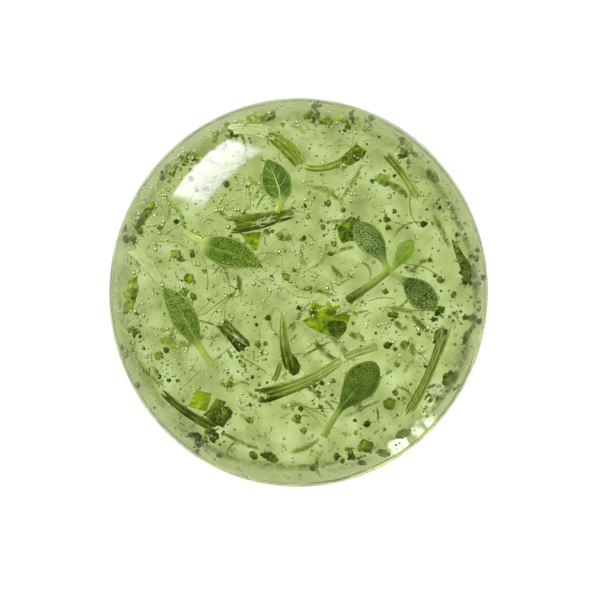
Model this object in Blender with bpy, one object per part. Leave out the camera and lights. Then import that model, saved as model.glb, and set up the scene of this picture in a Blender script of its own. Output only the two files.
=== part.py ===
# A round dome of clear green herb gel, flat underneath, with whole leaves, a leafy sprig, cut stem
# strips and chopped leaf pieces set in it. The pieces lie on one shallow curved bed. The gel is
# parted along that bed into a lower and an upper body, and each piece has its own pocket there.
# Metres, +Z up. The origin is the middle of the flat underside.

from math import asin, atan2, ceil, cos, hypot, log, pi, radians, sin, sqrt
from random import Random

import bmesh
import bpy
import numpy as np
from mathutils import Vector

MM = 0.001

# The gel body
DOME_RADIUS = 25.0 * MM
OVALITY = 0.0132  # the plan is this share longer one way, and shorter the other
LONG_AXIS = radians(84.65)
DOME_HEIGHT = 15.5 * MM
RIM_HEIGHT = 4.5 * MM  # where the dome is widest
FOOT_ROUNDING = 7.6 * MM  # the half breadth of the oval that the side follows below the rim
FOOT_ANGLE = radians(60)  # how far round that oval it goes before the flat underside cuts it off
BED_RIM_HEIGHT = 5.0 * MM
BED_RISE = 4.5 * MM
BED_GAP = 0.3 * MM
GEL_INDEX = 1.36  # how strongly the gel bends light

# Facets of the gel body
SEGMENTS = 60
DOME_RINGS = 9
FOOT_RINGS = 4
BED_RINGS = 3

# The herb pieces
VIEW_DISTANCE = 500.0 * MM  # from where the places below are seen, straight above
LEAF_THICKNESS = 0.4 * MM
LEAF_CUP = 0.25 * MM  # how far a blade's edges stand over its midrib
STALK_WIDTH = 0.75 * MM
TIP_WIDTH = 0.3 * MM
STRIP_THICKNESS = 0.5 * MM
PIECE_THICKNESS = 0.35 * MM
POCKET_CLEARANCE = 0.3 * MM

# Colours, as red, green and blue, and roughness
FINISHES = {
    "gel": ((0.55, 0.68, 0.30), 0.05),
    "dark_leaf": ((0.10, 0.22, 0.05), 0.55),
    "bright_leaf": ((0.28, 0.42, 0.02), 0.5),
    "olive_stem": ((0.20, 0.24, 0.05), 0.5),
    "pale_stem": ((0.50, 0.58, 0.24), 0.45),
}

# Whole leaves: the line from the cut stalk to the tip as seen from above, the blade's width, the
# share of the line that is bare stalk, where along the blade it is widest, and the lift off the bed.
# Places and sizes in this table and the next two are in millimetres.
LEAVES = {
    "leaf_top": ([(-2.7, 11.1), (-2.5, 11.9), (-2.9, 14.5), (-4.0, 17.3)], 3.9, 0.12, 0.45, 0.8),
    "leaf_left": ([(-14.7, 7.9), (-12.3, 6.3), (-8.5, 5.0), (-4.7, 3.2)], 3.6, 0.26, 0.42, 0.3),
    "leaf_lower_left": ([(-11.0, -9.6), (-12.9, -7.0), (-15.1, -2.9), (-17.5, 0.5)], 3.5, 0.24, 0.5, 0.2),
    "leaf_bottom": ([(3.3, -18.8), (5.0, -15.8), (7.6, -12.4), (10.0, -9.1)], 4.3, 0.26, 0.62, 0.7),
    "sprig_leaf_upper": ([(11.3, 3.3), (10.9, 4.3), (9.3, 6.7), (7.6, 8.9)], 3.2, 0.12, 0.6, 0.6),
    "sprig_leaf_small": ([(12.1, 3.1), (12.7, 3.7), (13.9, 5.4), (14.7, 6.9)], 2.0, 0.15, 0.6, 0.3),
    "sprig_leaf_right": ([(12.4, 2.3), (13.6, 1.6), (15.8, -0.2), (18.0, -1.9)], 3.4, 0.18, 0.58, 0.3),
}

# Stems and cut strips: finish, the line along them, the widths at its two ends, and the lift.
STRIPS = {
    "strip_long": ("olive_stem", [(-5.9, -13.7), (0.2, -11.9), (5.9, -8.5)], (1.6, 1.0), -0.4),
    "strip_long_tip": ("pale_stem", [(6.3, -8.4), (8.3, -7.6), (10.4, -6.9)], (0.8, 0.6), -0.4),
    "strip_wet": ("olive_stem", [(-9.3, 8.5), (-5.0, 9.3), (-0.4, 10.3)], (1.9, 1.2), 0.3),
    "strip_short": ("olive_stem", [(-10.3, -3.8), (-8.6, -5.5), (-6.9, -7.5)], (1.2, 1.4), 0.0),
    "strip_middle": ("olive_stem", [(-1.9, -1.8), (-1.9, -6.2), (-1.0, -10.2)], (0.6, 1.1), 0.4),
    "strip_right": ("olive_stem", [(19.3, -4.1), (17.1, -10.3), (14.0, -16.1)], (1.5, 1.1), 0.3),
    "strip_upper_right": ("olive_stem", [(10.9, 18.4), (13.3, 15.7), (15.8, 11.8)], (0.9, 0.9), 0.0),
    "strip_lower_left": ("olive_stem", [(-18.1, -12.6), (-14.4, -15.7), (-10.5, -17.8)], (0.6, 0.9), 0.9),
    "strip_top_pale": ("pale_stem", [(-9.4, 20.9), (-6.3, 21.2), (-3.7, 20.5)], (0.7, 1.2), 0.0),
    "strip_top_olive": ("olive_stem", [(-3.2, 20.1), (-1.5, 18.9), (0.1, 17.0)], (1.1, 1.3), 0.0),
    "stalk_top": ("pale_stem", [(0.6, 16.5), (2.8, 16.2), (5.4, 17.1)], (0.9, 0.8), 0.0),
    "stalk_left": ("pale_stem", [(-21.9, 6.0), (-19.9, 3.9), (-18.2, 1.3)], (1.0, 0.8), 0.0),
    "stalk_middle": ("pale_stem", [(-2.3, -9.0), (-2.7, -10.4), (-3.3, -11.6)], (0.6, 0.7), -0.9),
}

# The sprig's round stem, on the same terms as a strip
SPRIG_STEM = ("pale_stem", [(6.3, -1.1), (9.0, 0.7), (11.5, 2.5)], (1.15, 0.85), 0.3)

# Chopped leaf pieces: finish, middle, length, width, angle of the length from +X in degrees, number
# of corners and lift
PIECES = {
    "fold_under_strip": ("bright_leaf", (-6.0, 6.8), 2.6, 1.8, 80, 12, -0.9),
    "fold_middle": ("olive_stem", (-0.6, -9.6), 3.4, 1.3, -70, 12, -0.6),
    "fold_right": ("olive_stem", (18.5, -5.6), 2.8, 1.9, 60, 12, -0.8),
    "piece_square": ("bright_leaf", (-12.8, -14.0), 3.3, 2.9, -20, 8, 0.0),
    "piece_toothed": ("bright_leaf", (-10.3, -15.6), 4.2, 3.7, -25, 16, -0.8),
    "piece_crumpled": ("bright_leaf", (3.4, -3.0), 6.2, 4.6, 15, 22, -0.5),
    "piece_folded": ("dark_leaf", (5.1, -4.9), 2.6, 2.4, 0, 12, 0.5),
    "piece_behind_sprig": ("bright_leaf", (6.8, 8.1), 3.6, 3.2, 60, 14, -0.8),
    "piece_bright_top": ("bright_leaf", (7.3, 17.8), 3.4, 1.9, 35, 12, 0.0),
    "piece_left": ("bright_leaf", (-20.1, 9.9), 4.8, 1.5, 56, 12, 0.0),
    "piece_right": ("olive_stem", (21.3, 4.3), 6.2, 1.8, -68, 14, 0.0),
    "piece_far_left": ("olive_stem", (-21.8, -0.6), 6.3, 1.8, 78, 14, 0.0),
    "piece_top_right": ("olive_stem", (11.1, 14.6), 2.5, 1.7, -20, 10, 0.0),
    "piece_top_left_rim": ("olive_stem", (-5.4, 22.7), 3.5, 1.3, 14, 10, 0.0),
    "piece_top_rim": ("olive_stem", (5.7, 22.6), 2.8, 1.2, -25, 10, 0.0),
    "piece_upper_rim": ("olive_stem", (14.0, 19.2), 3.0, 1.4, -50, 10, 0.0),
    "piece_upper_right_rim": ("olive_stem", (17.3, 15.2), 2.6, 1.4, -45, 10, 0.0),
    "piece_lower_rim": ("dark_leaf", (13.6, -18.4), 2.3, 1.4, 20, 10, 0.0),
    "piece_low_left": ("dark_leaf", (8.8, -20.0), 2.5, 1.8, 10, 10, 0.0),
    "piece_low_right": ("dark_leaf", (10.9, -20.9), 2.2, 1.2, -10, 10, 0.5),
    "seed_large": ("dark_leaf", (-3.7, -21.4), 2.6, 1.4, -25, 10, 0.0),
    "seed_small": ("dark_leaf", (-5.9, -21.2), 1.6, 1.1, -25, 8, 0.0),
    "flake_lower": ("dark_leaf", (11.8, -14.5), 1.9, 1.8, 0, 8, 0.0),
    "flake_right": ("dark_leaf", (13.8, -6.8), 1.3, 1.3, 0, 8, 0.0),
    "flake_strip_end": ("dark_leaf", (11.6, -6.9), 1.2, 1.1, 0, 8, 0.3),
    "flake_middle": ("dark_leaf", (12.3, -2.9), 1.6, 1.2, -20, 8, 0.0),
    "flake_left": ("bright_leaf", (-14.2, 1.8), 1.6, 1.5, 0, 8, 0.0),
    "flake_right_rim": ("dark_leaf", (19.6, -11.1), 2.6, 1.7, 40, 10, 0.0),
    "flake_far_right": ("dark_leaf", (21.9, -5.7), 2.8, 1.0, 65, 8, 0.0),
}

# Cross-sections, as shares of the half width and of the half thickness
LEAF_SECTION = [(-1, -0.5), (0, -1), (1, -0.5), (1, 0.5), (0, 1), (-1, 0.5)]
STRIP_SECTION = [(-1, -0.6), (0, -1), (1, -0.6), (1, 0.6), (0.5, 1), (0, 0.5), (-0.5, 1), (-1, 0.6)]
STEM_SECTION = [(cos(2 * pi * i / 8), sin(2 * pi * i / 8)) for i in range(8)]
POCKET_SECTION = [(-1, -1), (1, -1), (1, 1), (-1, 1)]


def clear_scene():
    for thing in list(bpy.data.objects):
        bpy.data.objects.remove(thing)


def finish_named(object_name, finish):
    """The object's own material, in one of the finishes."""
    colour, roughness = FINISHES[finish]
    material = bpy.data.materials.new(object_name)
    material.use_nodes = True
    shader = material.node_tree.nodes["Principled BSDF"]
    shader.inputs["Base Color"].default_value = (*colour, 1.0)
    shader.inputs["Roughness"].default_value = roughness
    if finish == "gel":
        shader.inputs["Transmission Weight"].default_value = 1.0
        shader.inputs["IOR"].default_value = GEL_INDEX
    return material


def new_object(name, points, faces, finish=None):
    """A closed mesh object with its faces pointing out. One without a finish is a cutter."""
    mesh = bpy.data.meshes.new(name)
    mesh.from_pydata([tuple(p) for p in points], [], faces)
    shape = bmesh.new()
    shape.from_mesh(mesh)
    bmesh.ops.recalc_face_normals(shape, faces=shape.faces)
    shape.to_mesh(mesh)
    shape.free()
    piece = bpy.data.objects.new(name, mesh)
    bpy.context.scene.collection.objects.link(piece)
    if finish:
        mesh.materials.append(finish_named(name, finish))
        mesh.shade_smooth()
        mesh.set_sharp_from_angle(angle=radians(40))
    else:
        piece.hide_render = True
        piece.display_type = "WIRE"
    return piece


def plan_radius(x, y):
    """The gel's radius in plan in the direction of a point: slightly oval."""
    return DOME_RADIUS * (1 + OVALITY * cos(2 * (atan2(y, x) - LONG_AXIS)))


def rim_share(x, y):
    """How far out a point lies, from 0 on the axis to 1 at the rim."""
    return hypot(x, y) / plan_radius(x, y)


def dome_height(x, y):
    share = min(rim_share(x, y), 0.99)
    return RIM_HEIGHT + (DOME_HEIGHT - RIM_HEIGHT) * sqrt(1 - share**2)


def bed_height(x, y):
    return BED_RIM_HEIGHT + BED_RISE * (1 - rim_share(x, y) ** 2)


def dome_normal(x, y):
    step = 0.01 * MM
    slope_x = (dome_height(x + step, y) - dome_height(x - step, y)) / (2 * step)
    slope_y = (dome_height(x, y + step) - dome_height(x, y - step)) / (2 * step)
    return Vector((-slope_x, -slope_y, 1)).normalized()


def bent(ray, normal, ratio):
    """The ray's direction inside the gel, by the law of refraction."""
    against = -ray.dot(normal)
    return ratio * ray + (ratio * against - sqrt(1 - ratio**2 * (1 - against**2))) * normal


def seat(x, y, lift):
    """Where a point lifted this far off the bed lies, if it is seen at x, y from above the dome."""
    eye = Vector((0, 0, RIM_HEIGHT + VIEW_DISTANCE))
    seen = Vector((x, y, RIM_HEIGHT))
    surface = seen
    for _ in range(4):
        surface = seen.lerp(eye, (dome_height(surface.x, surface.y) - RIM_HEIGHT) / VIEW_DISTANCE)
    inside = bent((surface - eye).normalized(), dome_normal(surface.x, surface.y), 1 / GEL_INDEX)
    place = surface
    for _ in range(4):
        height = bed_height(place.x, place.y) + lift
        place = surface + inside * ((height - surface.z) / inside.z)
    return place


def turned(name, profile):
    """A gel body from its profile of radii and heights, which starts and ends on the axis."""
    points = [(0, 0, profile[0][1])]
    for radius, height in profile[1:-1]:
        for i in range(SEGMENTS):
            angle = 2 * pi * i / SEGMENTS
            stretch = plan_radius(cos(angle), sin(angle)) / DOME_RADIUS
            points.append((radius * stretch * cos(angle), radius * stretch * sin(angle), height))
    last = len(points)
    points.append((0, 0, profile[-1][1]))
    rings = len(profile) - 2
    faces = []
    for i in range(SEGMENTS):
        after = (i + 1) % SEGMENTS
        faces.append((0, 1 + i, 1 + after))
        for ring in range(rings - 1):
            near = 1 + ring * SEGMENTS
            far = near + SEGMENTS
            faces.append((near + i, far + i, far + after, near + after))
        faces.append((1 + (rings - 1) * SEGMENTS + i, last, 1 + (rings - 1) * SEGMENTS + after))
    return new_object(name, points, faces, "gel")


def bed_profile(offset):
    """The bed from the axis outwards, stopping short of the dome's side."""
    shares = [i / BED_RINGS for i in range(BED_RINGS)]
    return [(s * DOME_RADIUS, bed_height(s * DOME_RADIUS, 0) + offset) for s in shares]


def make_gel_upper():
    """From the bed to the top of the dome. The side starts where the bed runs out of it."""
    rise = DOME_HEIGHT - RIM_HEIGHT
    start = asin((BED_RIM_HEIGHT + BED_GAP / 2 - RIM_HEIGHT) / rise)
    side = []
    for i in range(DOME_RINGS):
        angle = start + (pi / 2 - start) * i / DOME_RINGS
        side.append((DOME_RADIUS * cos(angle), RIM_HEIGHT + rise * sin(angle)))
    return turned("gel_upper", bed_profile(BED_GAP / 2) + side + [(0, DOME_HEIGHT)])


def make_gel_lower():
    """From the flat underside, round the tucked foot and the rim, to the bed."""
    depth = RIM_HEIGHT / sin(FOOT_ANGLE)
    foot = []
    for i in range(FOOT_RINGS + 1):
        angle = FOOT_ANGLE * (1 - i / FOOT_RINGS)
        foot.append((DOME_RADIUS - FOOT_ROUNDING * (1 - cos(angle)), RIM_HEIGHT - depth * sin(angle)))
    edge = (foot[-1][0], BED_RIM_HEIGHT - BED_GAP / 2)
    bed = bed_profile(-BED_GAP / 2)
    return turned("gel_lower", [(0, 0)] + foot + [edge] + bed[:0:-1] + [bed[0]])


def smooth_line(points, shares):
    """Points at the given shares of the smooth line through a few points."""
    points = np.array(points) * MM
    run = np.concatenate([[0], np.cumsum(np.hypot(*np.diff(points, axis=0).T))])
    curves = [np.polyfit(run / run[-1], axis, len(points) - 1) for axis in points.T]
    return np.array([np.polyval(curve, shares) for curve in curves]).T, run[-1]


def swept(name, line, half_width, section, low, high, cup, stations, finish=None, grow=0.0):
    """A solid along a line: half_width(share) either side of it, from low to high over the bed."""
    length = smooth_line(line, [0])[1]
    shares = np.linspace(0, 1, stations)
    reach = shares * (1 + 2 * grow / length) - grow / length
    middles = smooth_line(line, reach)[0]
    points = []
    for i, share in enumerate(shares):
        ahead = middles[min(i + 1, stations - 1)] - middles[max(i - 1, 0)]
        across = np.array([-ahead[1], ahead[0]]) / hypot(*ahead)
        half = half_width(share) + grow
        for side, up in section:
            x, y = middles[i] + across * side * half
            lift = low + (high - low) * (up + 1) / 2 + cup * side**2
            points.append(seat(x, y, lift))
    turn = len(section)
    faces = [tuple(range(turn)), tuple(range((stations - 1) * turn, stations * turn))]
    for i in range(stations - 1):
        for j in range(turn):
            after = (j + 1) % turn
            faces.append((i * turn + j, i * turn + after, (i + 1) * turn + after, (i + 1) * turn + j))
    return new_object(name, points, faces, finish)


def cut_pocket(name, low, high, gel_cutters, make_cutter):
    """A cutter round a piece, reaching the bed, for each gel body that the piece goes into."""
    low = min(low - POCKET_CLEARANCE, 0)
    high = max(high + POCKET_CLEARANCE, 0)
    cutter = make_cutter("pocket_" + name, low, high)
    lower_cutters, upper_cutters = gel_cutters
    if low < -BED_GAP / 2:
        lower_cutters.objects.link(cutter)
    if high > BED_GAP / 2:
        upper_cutters.objects.link(cutter)


def make_leaf(name, line, width, stalk, widest, lift, gel_cutters):
    """A blade on its stalk. The blade swells to its width where it is widest and ends in a tip."""
    bulge = log(0.5) / log(widest)

    def half_width(share):
        along = max(share - stalk, 0) / (1 - stalk)
        blade = width * MM / 2 * max(sin(pi * min(along, 1) ** bulge), 0) ** 0.8
        bare = STALK_WIDTH if share < 0.5 else TIP_WIDTH
        return max(blade, bare / 2)

    low = lift * MM - LEAF_THICKNESS / 2
    high = lift * MM + LEAF_THICKNESS / 2
    swept(name, line, half_width, LEAF_SECTION, low, high, LEAF_CUP, 14, "dark_leaf")
    cut_pocket(name, low, high + LEAF_CUP, gel_cutters, lambda pocket, bottom, top: swept(
        pocket, line, half_width, POCKET_SECTION, bottom, top, 0, 8, grow=POCKET_CLEARANCE))


def make_strip(name, finish, line, widths, lift, gel_cutters, section=STRIP_SECTION):
    """A strip of cut stem, flat and grooved, or a round stem, whose ends are cut straight."""

    def half_width(share):
        return (widths[0] + (widths[1] - widths[0]) * share) * MM / 2

    thickness = STRIP_THICKNESS if section is STRIP_SECTION else min(widths) * MM
    low = lift * MM - thickness / 2
    high = lift * MM + thickness / 2
    swept(name, line, half_width, section, low, high, 0, 6, finish)
    cut_pocket(name, low, high, gel_cutters, lambda pocket, bottom, top: swept(
        pocket, line, half_width, POCKET_SECTION, bottom, top, 0, 5, grow=POCKET_CLEARANCE))


def plate(name, corners, middle, low, high, rise, finish=None):
    """A thin solid over an outline of seen places, its middle raised over its edge."""
    count = len(corners)
    points = [seat(x, y, low) for x, y in corners]
    points += [seat(x, y, high) for x, y in corners]
    points += [seat(*middle, low + rise), seat(*middle, high + rise)]
    faces = []
    for i in range(count):
        after = (i + 1) % count
        faces.append((i, after, 2 * count))
        faces.append((count + i, count + after, 2 * count + 1))
        faces.append((i, after, count + after, count + i))
    return new_object(name, points, faces, finish)


def make_piece(name, finish, middle, length, width, angle, corners, lift, gel_cutters):
    """A chopped bit of leaf with an uneven, toothed edge."""
    uneven = Random(name)
    middle = np.array(middle) * MM
    along = np.array([cos(radians(angle)), sin(radians(angle))])
    across = np.array([-along[1], along[0]])

    def outline(count, reach):
        places = []
        for i in range(count):
            turn = 2 * pi * i / count
            share = reach(i)
            places.append(middle + along * cos(turn) * share(length) + across * sin(turn) * share(width))
        return places

    def toothed(i):
        depth = uneven.uniform(0.72, 0.9) if i % 2 else 1.0
        return lambda size: size * MM / 2 * depth

    pocket_corners = ceil(corners / 2)

    def around(_):
        spread = 1 / cos(pi / pocket_corners)
        return lambda size: (size * MM / 2 + POCKET_CLEARANCE) * spread

    low = lift * MM - PIECE_THICKNESS / 2
    high = lift * MM + PIECE_THICKNESS / 2
    rise = uneven.uniform(0.4, 0.8) * PIECE_THICKNESS
    plate(name, outline(corners, toothed), middle, low, high, rise, finish)
    cut_pocket(name, low, high + rise, gel_cutters, lambda pocket, bottom, top: plate(
        pocket, outline(pocket_corners, around), middle, bottom, top, 0))


def open_pockets(gel_body, cutters):
    pockets = gel_body.modifiers.new("pockets", "BOOLEAN")
    pockets.operation = "DIFFERENCE"
    pockets.solver = "EXACT"
    pockets.operand_type = "COLLECTION"
    pockets.collection = cutters


clear_scene()
gel_cutters = (bpy.data.collections.new("lower_pockets"), bpy.data.collections.new("upper_pockets"))
for name, leaf in LEAVES.items():
    make_leaf(name, *leaf, gel_cutters)
for name, strip in STRIPS.items():
    make_strip(name, *strip, gel_cutters)
make_strip("sprig_stem", *SPRIG_STEM, gel_cutters, section=STEM_SECTION)
for name, piece in PIECES.items():
    make_piece(name, *piece, gel_cutters)
open_pockets(make_gel_lower(), gel_cutters[0])
open_pockets(make_gel_upper(), gel_cutters[1])
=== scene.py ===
from math import cos, log, pi, radians, sin, sqrt
from random import Random

import bmesh
import bpy
import numpy as np
from mathutils import Euler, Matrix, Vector, noise


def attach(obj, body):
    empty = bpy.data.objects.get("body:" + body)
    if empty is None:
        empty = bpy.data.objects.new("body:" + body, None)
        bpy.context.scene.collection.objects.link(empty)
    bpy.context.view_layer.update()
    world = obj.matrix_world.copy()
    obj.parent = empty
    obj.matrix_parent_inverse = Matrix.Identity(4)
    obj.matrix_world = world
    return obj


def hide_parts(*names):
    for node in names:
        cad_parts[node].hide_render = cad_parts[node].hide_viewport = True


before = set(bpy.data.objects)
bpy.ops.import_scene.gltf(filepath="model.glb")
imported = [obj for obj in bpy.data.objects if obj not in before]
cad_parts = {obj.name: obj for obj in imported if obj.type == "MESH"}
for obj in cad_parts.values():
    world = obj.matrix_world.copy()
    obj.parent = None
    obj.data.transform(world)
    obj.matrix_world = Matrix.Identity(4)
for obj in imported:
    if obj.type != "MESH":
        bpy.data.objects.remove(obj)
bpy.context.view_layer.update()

MM = 0.001


# The camera looks straight down on the dome from half a metre over its widest ring. It comes first,
# because the herb pieces are placed by where they are seen from there.
RIM_HEIGHT = 4.5 * MM
VIEW_DISTANCE = 500 * MM
VIEW_WIDTH = 78 * MM
SENSOR = 36
camera = bpy.data.objects.new("camera", bpy.data.cameras.new("camera"))
camera.data.sensor_width = SENSOR
camera.data.lens = SENSOR * VIEW_DISTANCE / VIEW_WIDTH
camera.location = (0.2 * MM, -1.0 * MM, RIM_HEIGHT + VIEW_DISTANCE)
bpy.context.scene.collection.objects.link(camera)
bpy.context.scene.camera = camera


# Light: a white light table under the dome, a dim sky that is brighter towards the horizon, and one
# nearly square soft box over the upper left, which the dome mirrors as a bright window. A wide panel
# behind the box lights the herbs and bubbles inside. The table glows in uneven patches. Painted into its
# glow are a shade, dimmer in a ring under the gel's foot, and a pool of light, a bright crescent where
# the dome would gather the light.
SKY_OVERHEAD = 0.2
SKY_HORIZON = 0.9
SKY_BLEND = 0.2  # the height of the sky's direction at which it is as dim as overhead
PANEL_RADIANCE = 3.2
PANEL_COLOUR = (1.0, 0.96, 1.3)
PANEL_WIDTH = 920 * MM
PANEL_DISTANCE = 800 * MM
PANEL_ZENITH = radians(42)
TABLE_UNEVENNESS = 1.5
UNEVENNESS_SIZE = 3 * MM
# The foot's shade is painted into the table's glow: the glow is dimmer in a ring under the gel's foot.
FOOT_SHADE = 0.2
FOOT_SHADE_RING = (19.6 * MM, 20.5 * MM, 22.5 * MM, 24 * MM)
PATCHES_END = (23 * MM, 19 * MM)
PATCH_TINT = (0.97, 1.0, 1.4)  # of the table's brighter patches
# The crescent is a pool of light painted into the table's glow, where the dome would gather the soft box's
# light.
CRESCENT_GLOW = 3.0
CRESCENT_TINT = (0.8, 0.75, 1.7)
CRESCENT_RING = (20.5 * MM, 21.0 * MM, 22.0 * MM, 22.6 * MM)
CRESCENT_AZIMUTH = radians(-52)
CRESCENT_SPAN = (radians(11), radians(4))
CRESCENT_GRAIN = 0.9 * MM
CRESCENT_SEED = 2.0
BOX_RADIANCE = (22.5, 14)  # at its brightest and at its dimmest edge
BOX_COLOUR = (1.0, 0.94, 1.25)
BOX_SIZE = (166 * MM, 146 * MM)
BOX_SOFT_EDGE = 0.13  # as a share of its side
BOX_DISTANCE = 300 * MM
BOX_AZIMUTH = radians(125.8)
BOX_ZENITH = radians(60.4)
BOX_TURN = radians(18.5)
BOX_AIM = 8 * MM  # the height over the table that it faces
TABLE_GREY = (0.2, 0.2, 0.2, 1)
FLOOR_DROP = 0.05 * MM


def fill(node, inputs):
    """Fills inputs of a node with values, or links them to sockets."""
    for key, value in inputs.items():
        if isinstance(value, bpy.types.NodeSocket):
            node.id_data.links.new(value, node.inputs[key])
        else:
            node.inputs[key].default_value = value


def add(tree, kind, inputs=None, output=0, **settings):
    """Adds a node with its settings and inputs, and gives one of its outputs."""
    node = tree.nodes.new(kind)
    for name, value in settings.items():
        setattr(node, name, value)
    fill(node, inputs or {})
    return node.outputs[output]


def parted(tree, vector):
    """The X, Y and Z of a vector socket, by name."""
    return add(tree, "ShaderNodeSeparateXYZ", {"Vector": vector}).node.outputs


def maths(tree, operation, *values):
    """The result of a Math node on numbers or sockets."""
    return add(tree, "ShaderNodeMath", dict(enumerate(values)), operation=operation)


def times(tree, product, *factors):
    """The product of sockets or numbers."""
    for factor in factors:
        product = maths(tree, "MULTIPLY", product, factor)
    return product


def times_plus(tree, value, factor, more):
    """The value times the factor, and more added."""
    return maths(tree, "MULTIPLY_ADD", value, factor, more)


def smooth_step(tree, value, low, high):
    """0 below low, 1 above high and a smooth step between. With low over high it steps down."""
    inputs = {"Value": value, "From Min": low, "From Max": high}
    return add(tree, "ShaderNodeMapRange", inputs, interpolation_type="SMOOTHSTEP")


def grain(tree, size, detail=2.0, seed=0.0):
    """Noise on Object coordinates whose blotches are about this size, from 0 to 1."""
    here = add(tree, "ShaderNodeTexCoord", output="Object")
    placed = add(tree, "ShaderNodeMapping", {"Vector": here, "Location": (seed, seed, seed)})
    return add(tree, "ShaderNodeTexNoise", {"Vector": placed, "Scale": 1 / size, "Detail": detail})


def mixed(tree, share, first, second):
    """A colour between two others, which are colours or sockets."""
    ends = [end if isinstance(end, bpy.types.NodeSocket) else (*end, 1) for end in (first, second)]
    return add(tree, "ShaderNodeMix", {0: share, 6: ends[0], 7: ends[1]}, 2, data_type="RGBA")


def in_ring(tree, reach, edges):
    """1 between the two inner edges of a soft ring, 0 outside its outer ones."""
    return times(tree, smooth_step(tree, reach, *edges[:2]), smooth_step(tree, reach, *edges[:1:-1]))


def area_lamp(name, radiance, colour, size, distance, zenith, turn=0.0, aim=0.0):
    """An area lamp over the upper left of the dome, facing a point over the middle of the table."""
    lamp = bpy.data.lights.new(name, "AREA")
    lamp.shape = "RECTANGLE"
    lamp.size, lamp.size_y = size
    lamp.energy = radiance * size[0] * size[1] * pi
    lamp.color = colour
    towards = Vector((sin(zenith) * cos(BOX_AZIMUTH), sin(zenith) * sin(BOX_AZIMUTH), cos(zenith)))
    stand = bpy.data.objects.new(name, lamp)
    stand.location = towards * distance + Vector((0, 0, aim))
    facing = (-towards).to_track_quat("-Z", "Y").to_matrix() @ Euler((0, 0, turn)).to_matrix()
    stand.rotation_euler = facing.to_euler()
    bpy.context.scene.collection.objects.link(stand)
    return stand


bpy.context.scene.view_settings.view_transform = "Standard"
sky = bpy.data.worlds.new("sky")
sky.use_nodes = True
direction = parted(sky.node_tree, add(sky.node_tree, "ShaderNodeTexCoord", output="Generated"))
dimming = {"Value": direction["Z"], "From Max": SKY_BLEND, "To Min": SKY_HORIZON, "To Max": SKY_OVERHEAD}
dimmed = add(sky.node_tree, "ShaderNodeMapRange", dimming, interpolation_type="SMOOTHSTEP")
fill(sky.node_tree.nodes["Background"], {"Color": (1, 1, 1, 1), "Strength": dimmed})
bpy.context.scene.world = sky

soft_box = area_lamp("soft_box", BOX_RADIANCE[0], BOX_COLOUR, BOX_SIZE, BOX_DISTANCE, BOX_ZENITH,
                     BOX_TURN, BOX_AIM)
soft_box.data.use_nodes = True
box_tree = soft_box.data.node_tree
on_box = parted(box_tree, add(box_tree, "ShaderNodeNewGeometry", output="Parametric"))
dimmest = BOX_RADIANCE[1] / BOX_RADIANCE[0]
brightness = times_plus(box_tree, smooth_step(box_tree, on_box["Y"], 1.0, 0.35), 1 - dimmest, dimmest)
for side in "XY":
    from_middle = maths(box_tree, "ABSOLUTE", maths(box_tree, "SUBTRACT", on_box[side], 0.5))
    soft_edge = smooth_step(box_tree, from_middle, 0.5, 0.5 - BOX_SOFT_EDGE)
    brightness = times(box_tree, brightness, soft_edge)
fill(box_tree.nodes["Emission"], {"Strength": brightness})

panel_size = (PANEL_WIDTH, PANEL_WIDTH)
panel = area_lamp("wide_panel", PANEL_RADIANCE, PANEL_COLOUR, panel_size, PANEL_DISTANCE, PANEL_ZENITH)
panel.visible_camera = False
panel.visible_glossy = False

bpy.ops.mesh.primitive_plane_add(size=2, location=(0, 0, -FLOOR_DROP))
floor = bpy.context.object
floor.name = "floor"
table_top = bpy.data.materials.new("light_table")
table_top.use_nodes = True
table = table_top.node_tree
spot = parted(table, add(table, "ShaderNodeTexCoord", output="Object"))
reach = maths(table, "SQRT", maths(table, "ADD", *[times(table, spot[side], spot[side]) for side in "XY"]))
# painted pool of light: a bright crescent painted into the table's glow where the dome would gather the
# light
across = times(table, spot["Y"], sin(CRESCENT_AZIMUTH))
toward = times_plus(table, spot["X"], cos(CRESCENT_AZIMUTH), across)
wedge = smooth_step(table, maths(table, "DIVIDE", toward, reach), *[cos(edge) for edge in CRESCENT_SPAN])
broken = smooth_step(table, grain(table, CRESCENT_GRAIN, detail=1.0, seed=CRESCENT_SEED), 0.35, 0.6)
painted_crescent = times(table, in_ring(table, reach, CRESCENT_RING), wedge, broken)
under_dome = smooth_step(table, reach, *PATCHES_END)
patchwork = grain(table, UNEVENNESS_SIZE)
pale_patch = times(table, smooth_step(table, patchwork, 0.46, 0.74), under_dome)
uneven = times(table, maths(table, "SUBTRACT", patchwork, 0.5), under_dome)
# painted shade: the table's glow is turned down in a ring under the gel's foot
strength = times_plus(table, in_ring(table, reach, FOOT_SHADE_RING), -FOOT_SHADE, 1.0)
strength = times_plus(table, uneven, TABLE_UNEVENNESS, strength)
strength = times_plus(table, painted_crescent, CRESCENT_GLOW, strength)
tint = mixed(table, painted_crescent, mixed(table, pale_patch, (1, 1, 1), PATCH_TINT), CRESCENT_TINT)
fill(table.nodes["Principled BSDF"],
     {"Base Color": TABLE_GREY, "Roughness": 0.6, "Emission Color": tint, "Emission Strength": strength})
floor.data.materials.append(table_top)


# The gel: one clear, slightly oval dome of soft set gel. Its underside is flat and its foot tucks in a
# little. The bubbles in it are hollows in its mesh.
DOME_RADIUS = 25.0 * MM
OVALITY = 0.0132
LONG_AXIS = radians(84.65)
DOME_HEIGHT = 15.5 * MM
FOOT_ROUNDING = 7.6 * MM
FOOT_ANGLE = radians(60)
BED_RIM_HEIGHT = 5.0 * MM
BED_RISE = 4.5 * MM
GEL_INDEX = 1.36
GEL_TINT = (0.441, 0.532, 0.212)
GEL_ABSORPTION = (3, 3, 14)  # per metre
DOME_SEGMENTS = 168
DOME_RINGS = 48
FOOT_RINGS = 16
GLOW_REACH = 0.8 * MM
PLANT_INDEX = 1.12  # of plant skin against the gel that it lies in

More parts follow.
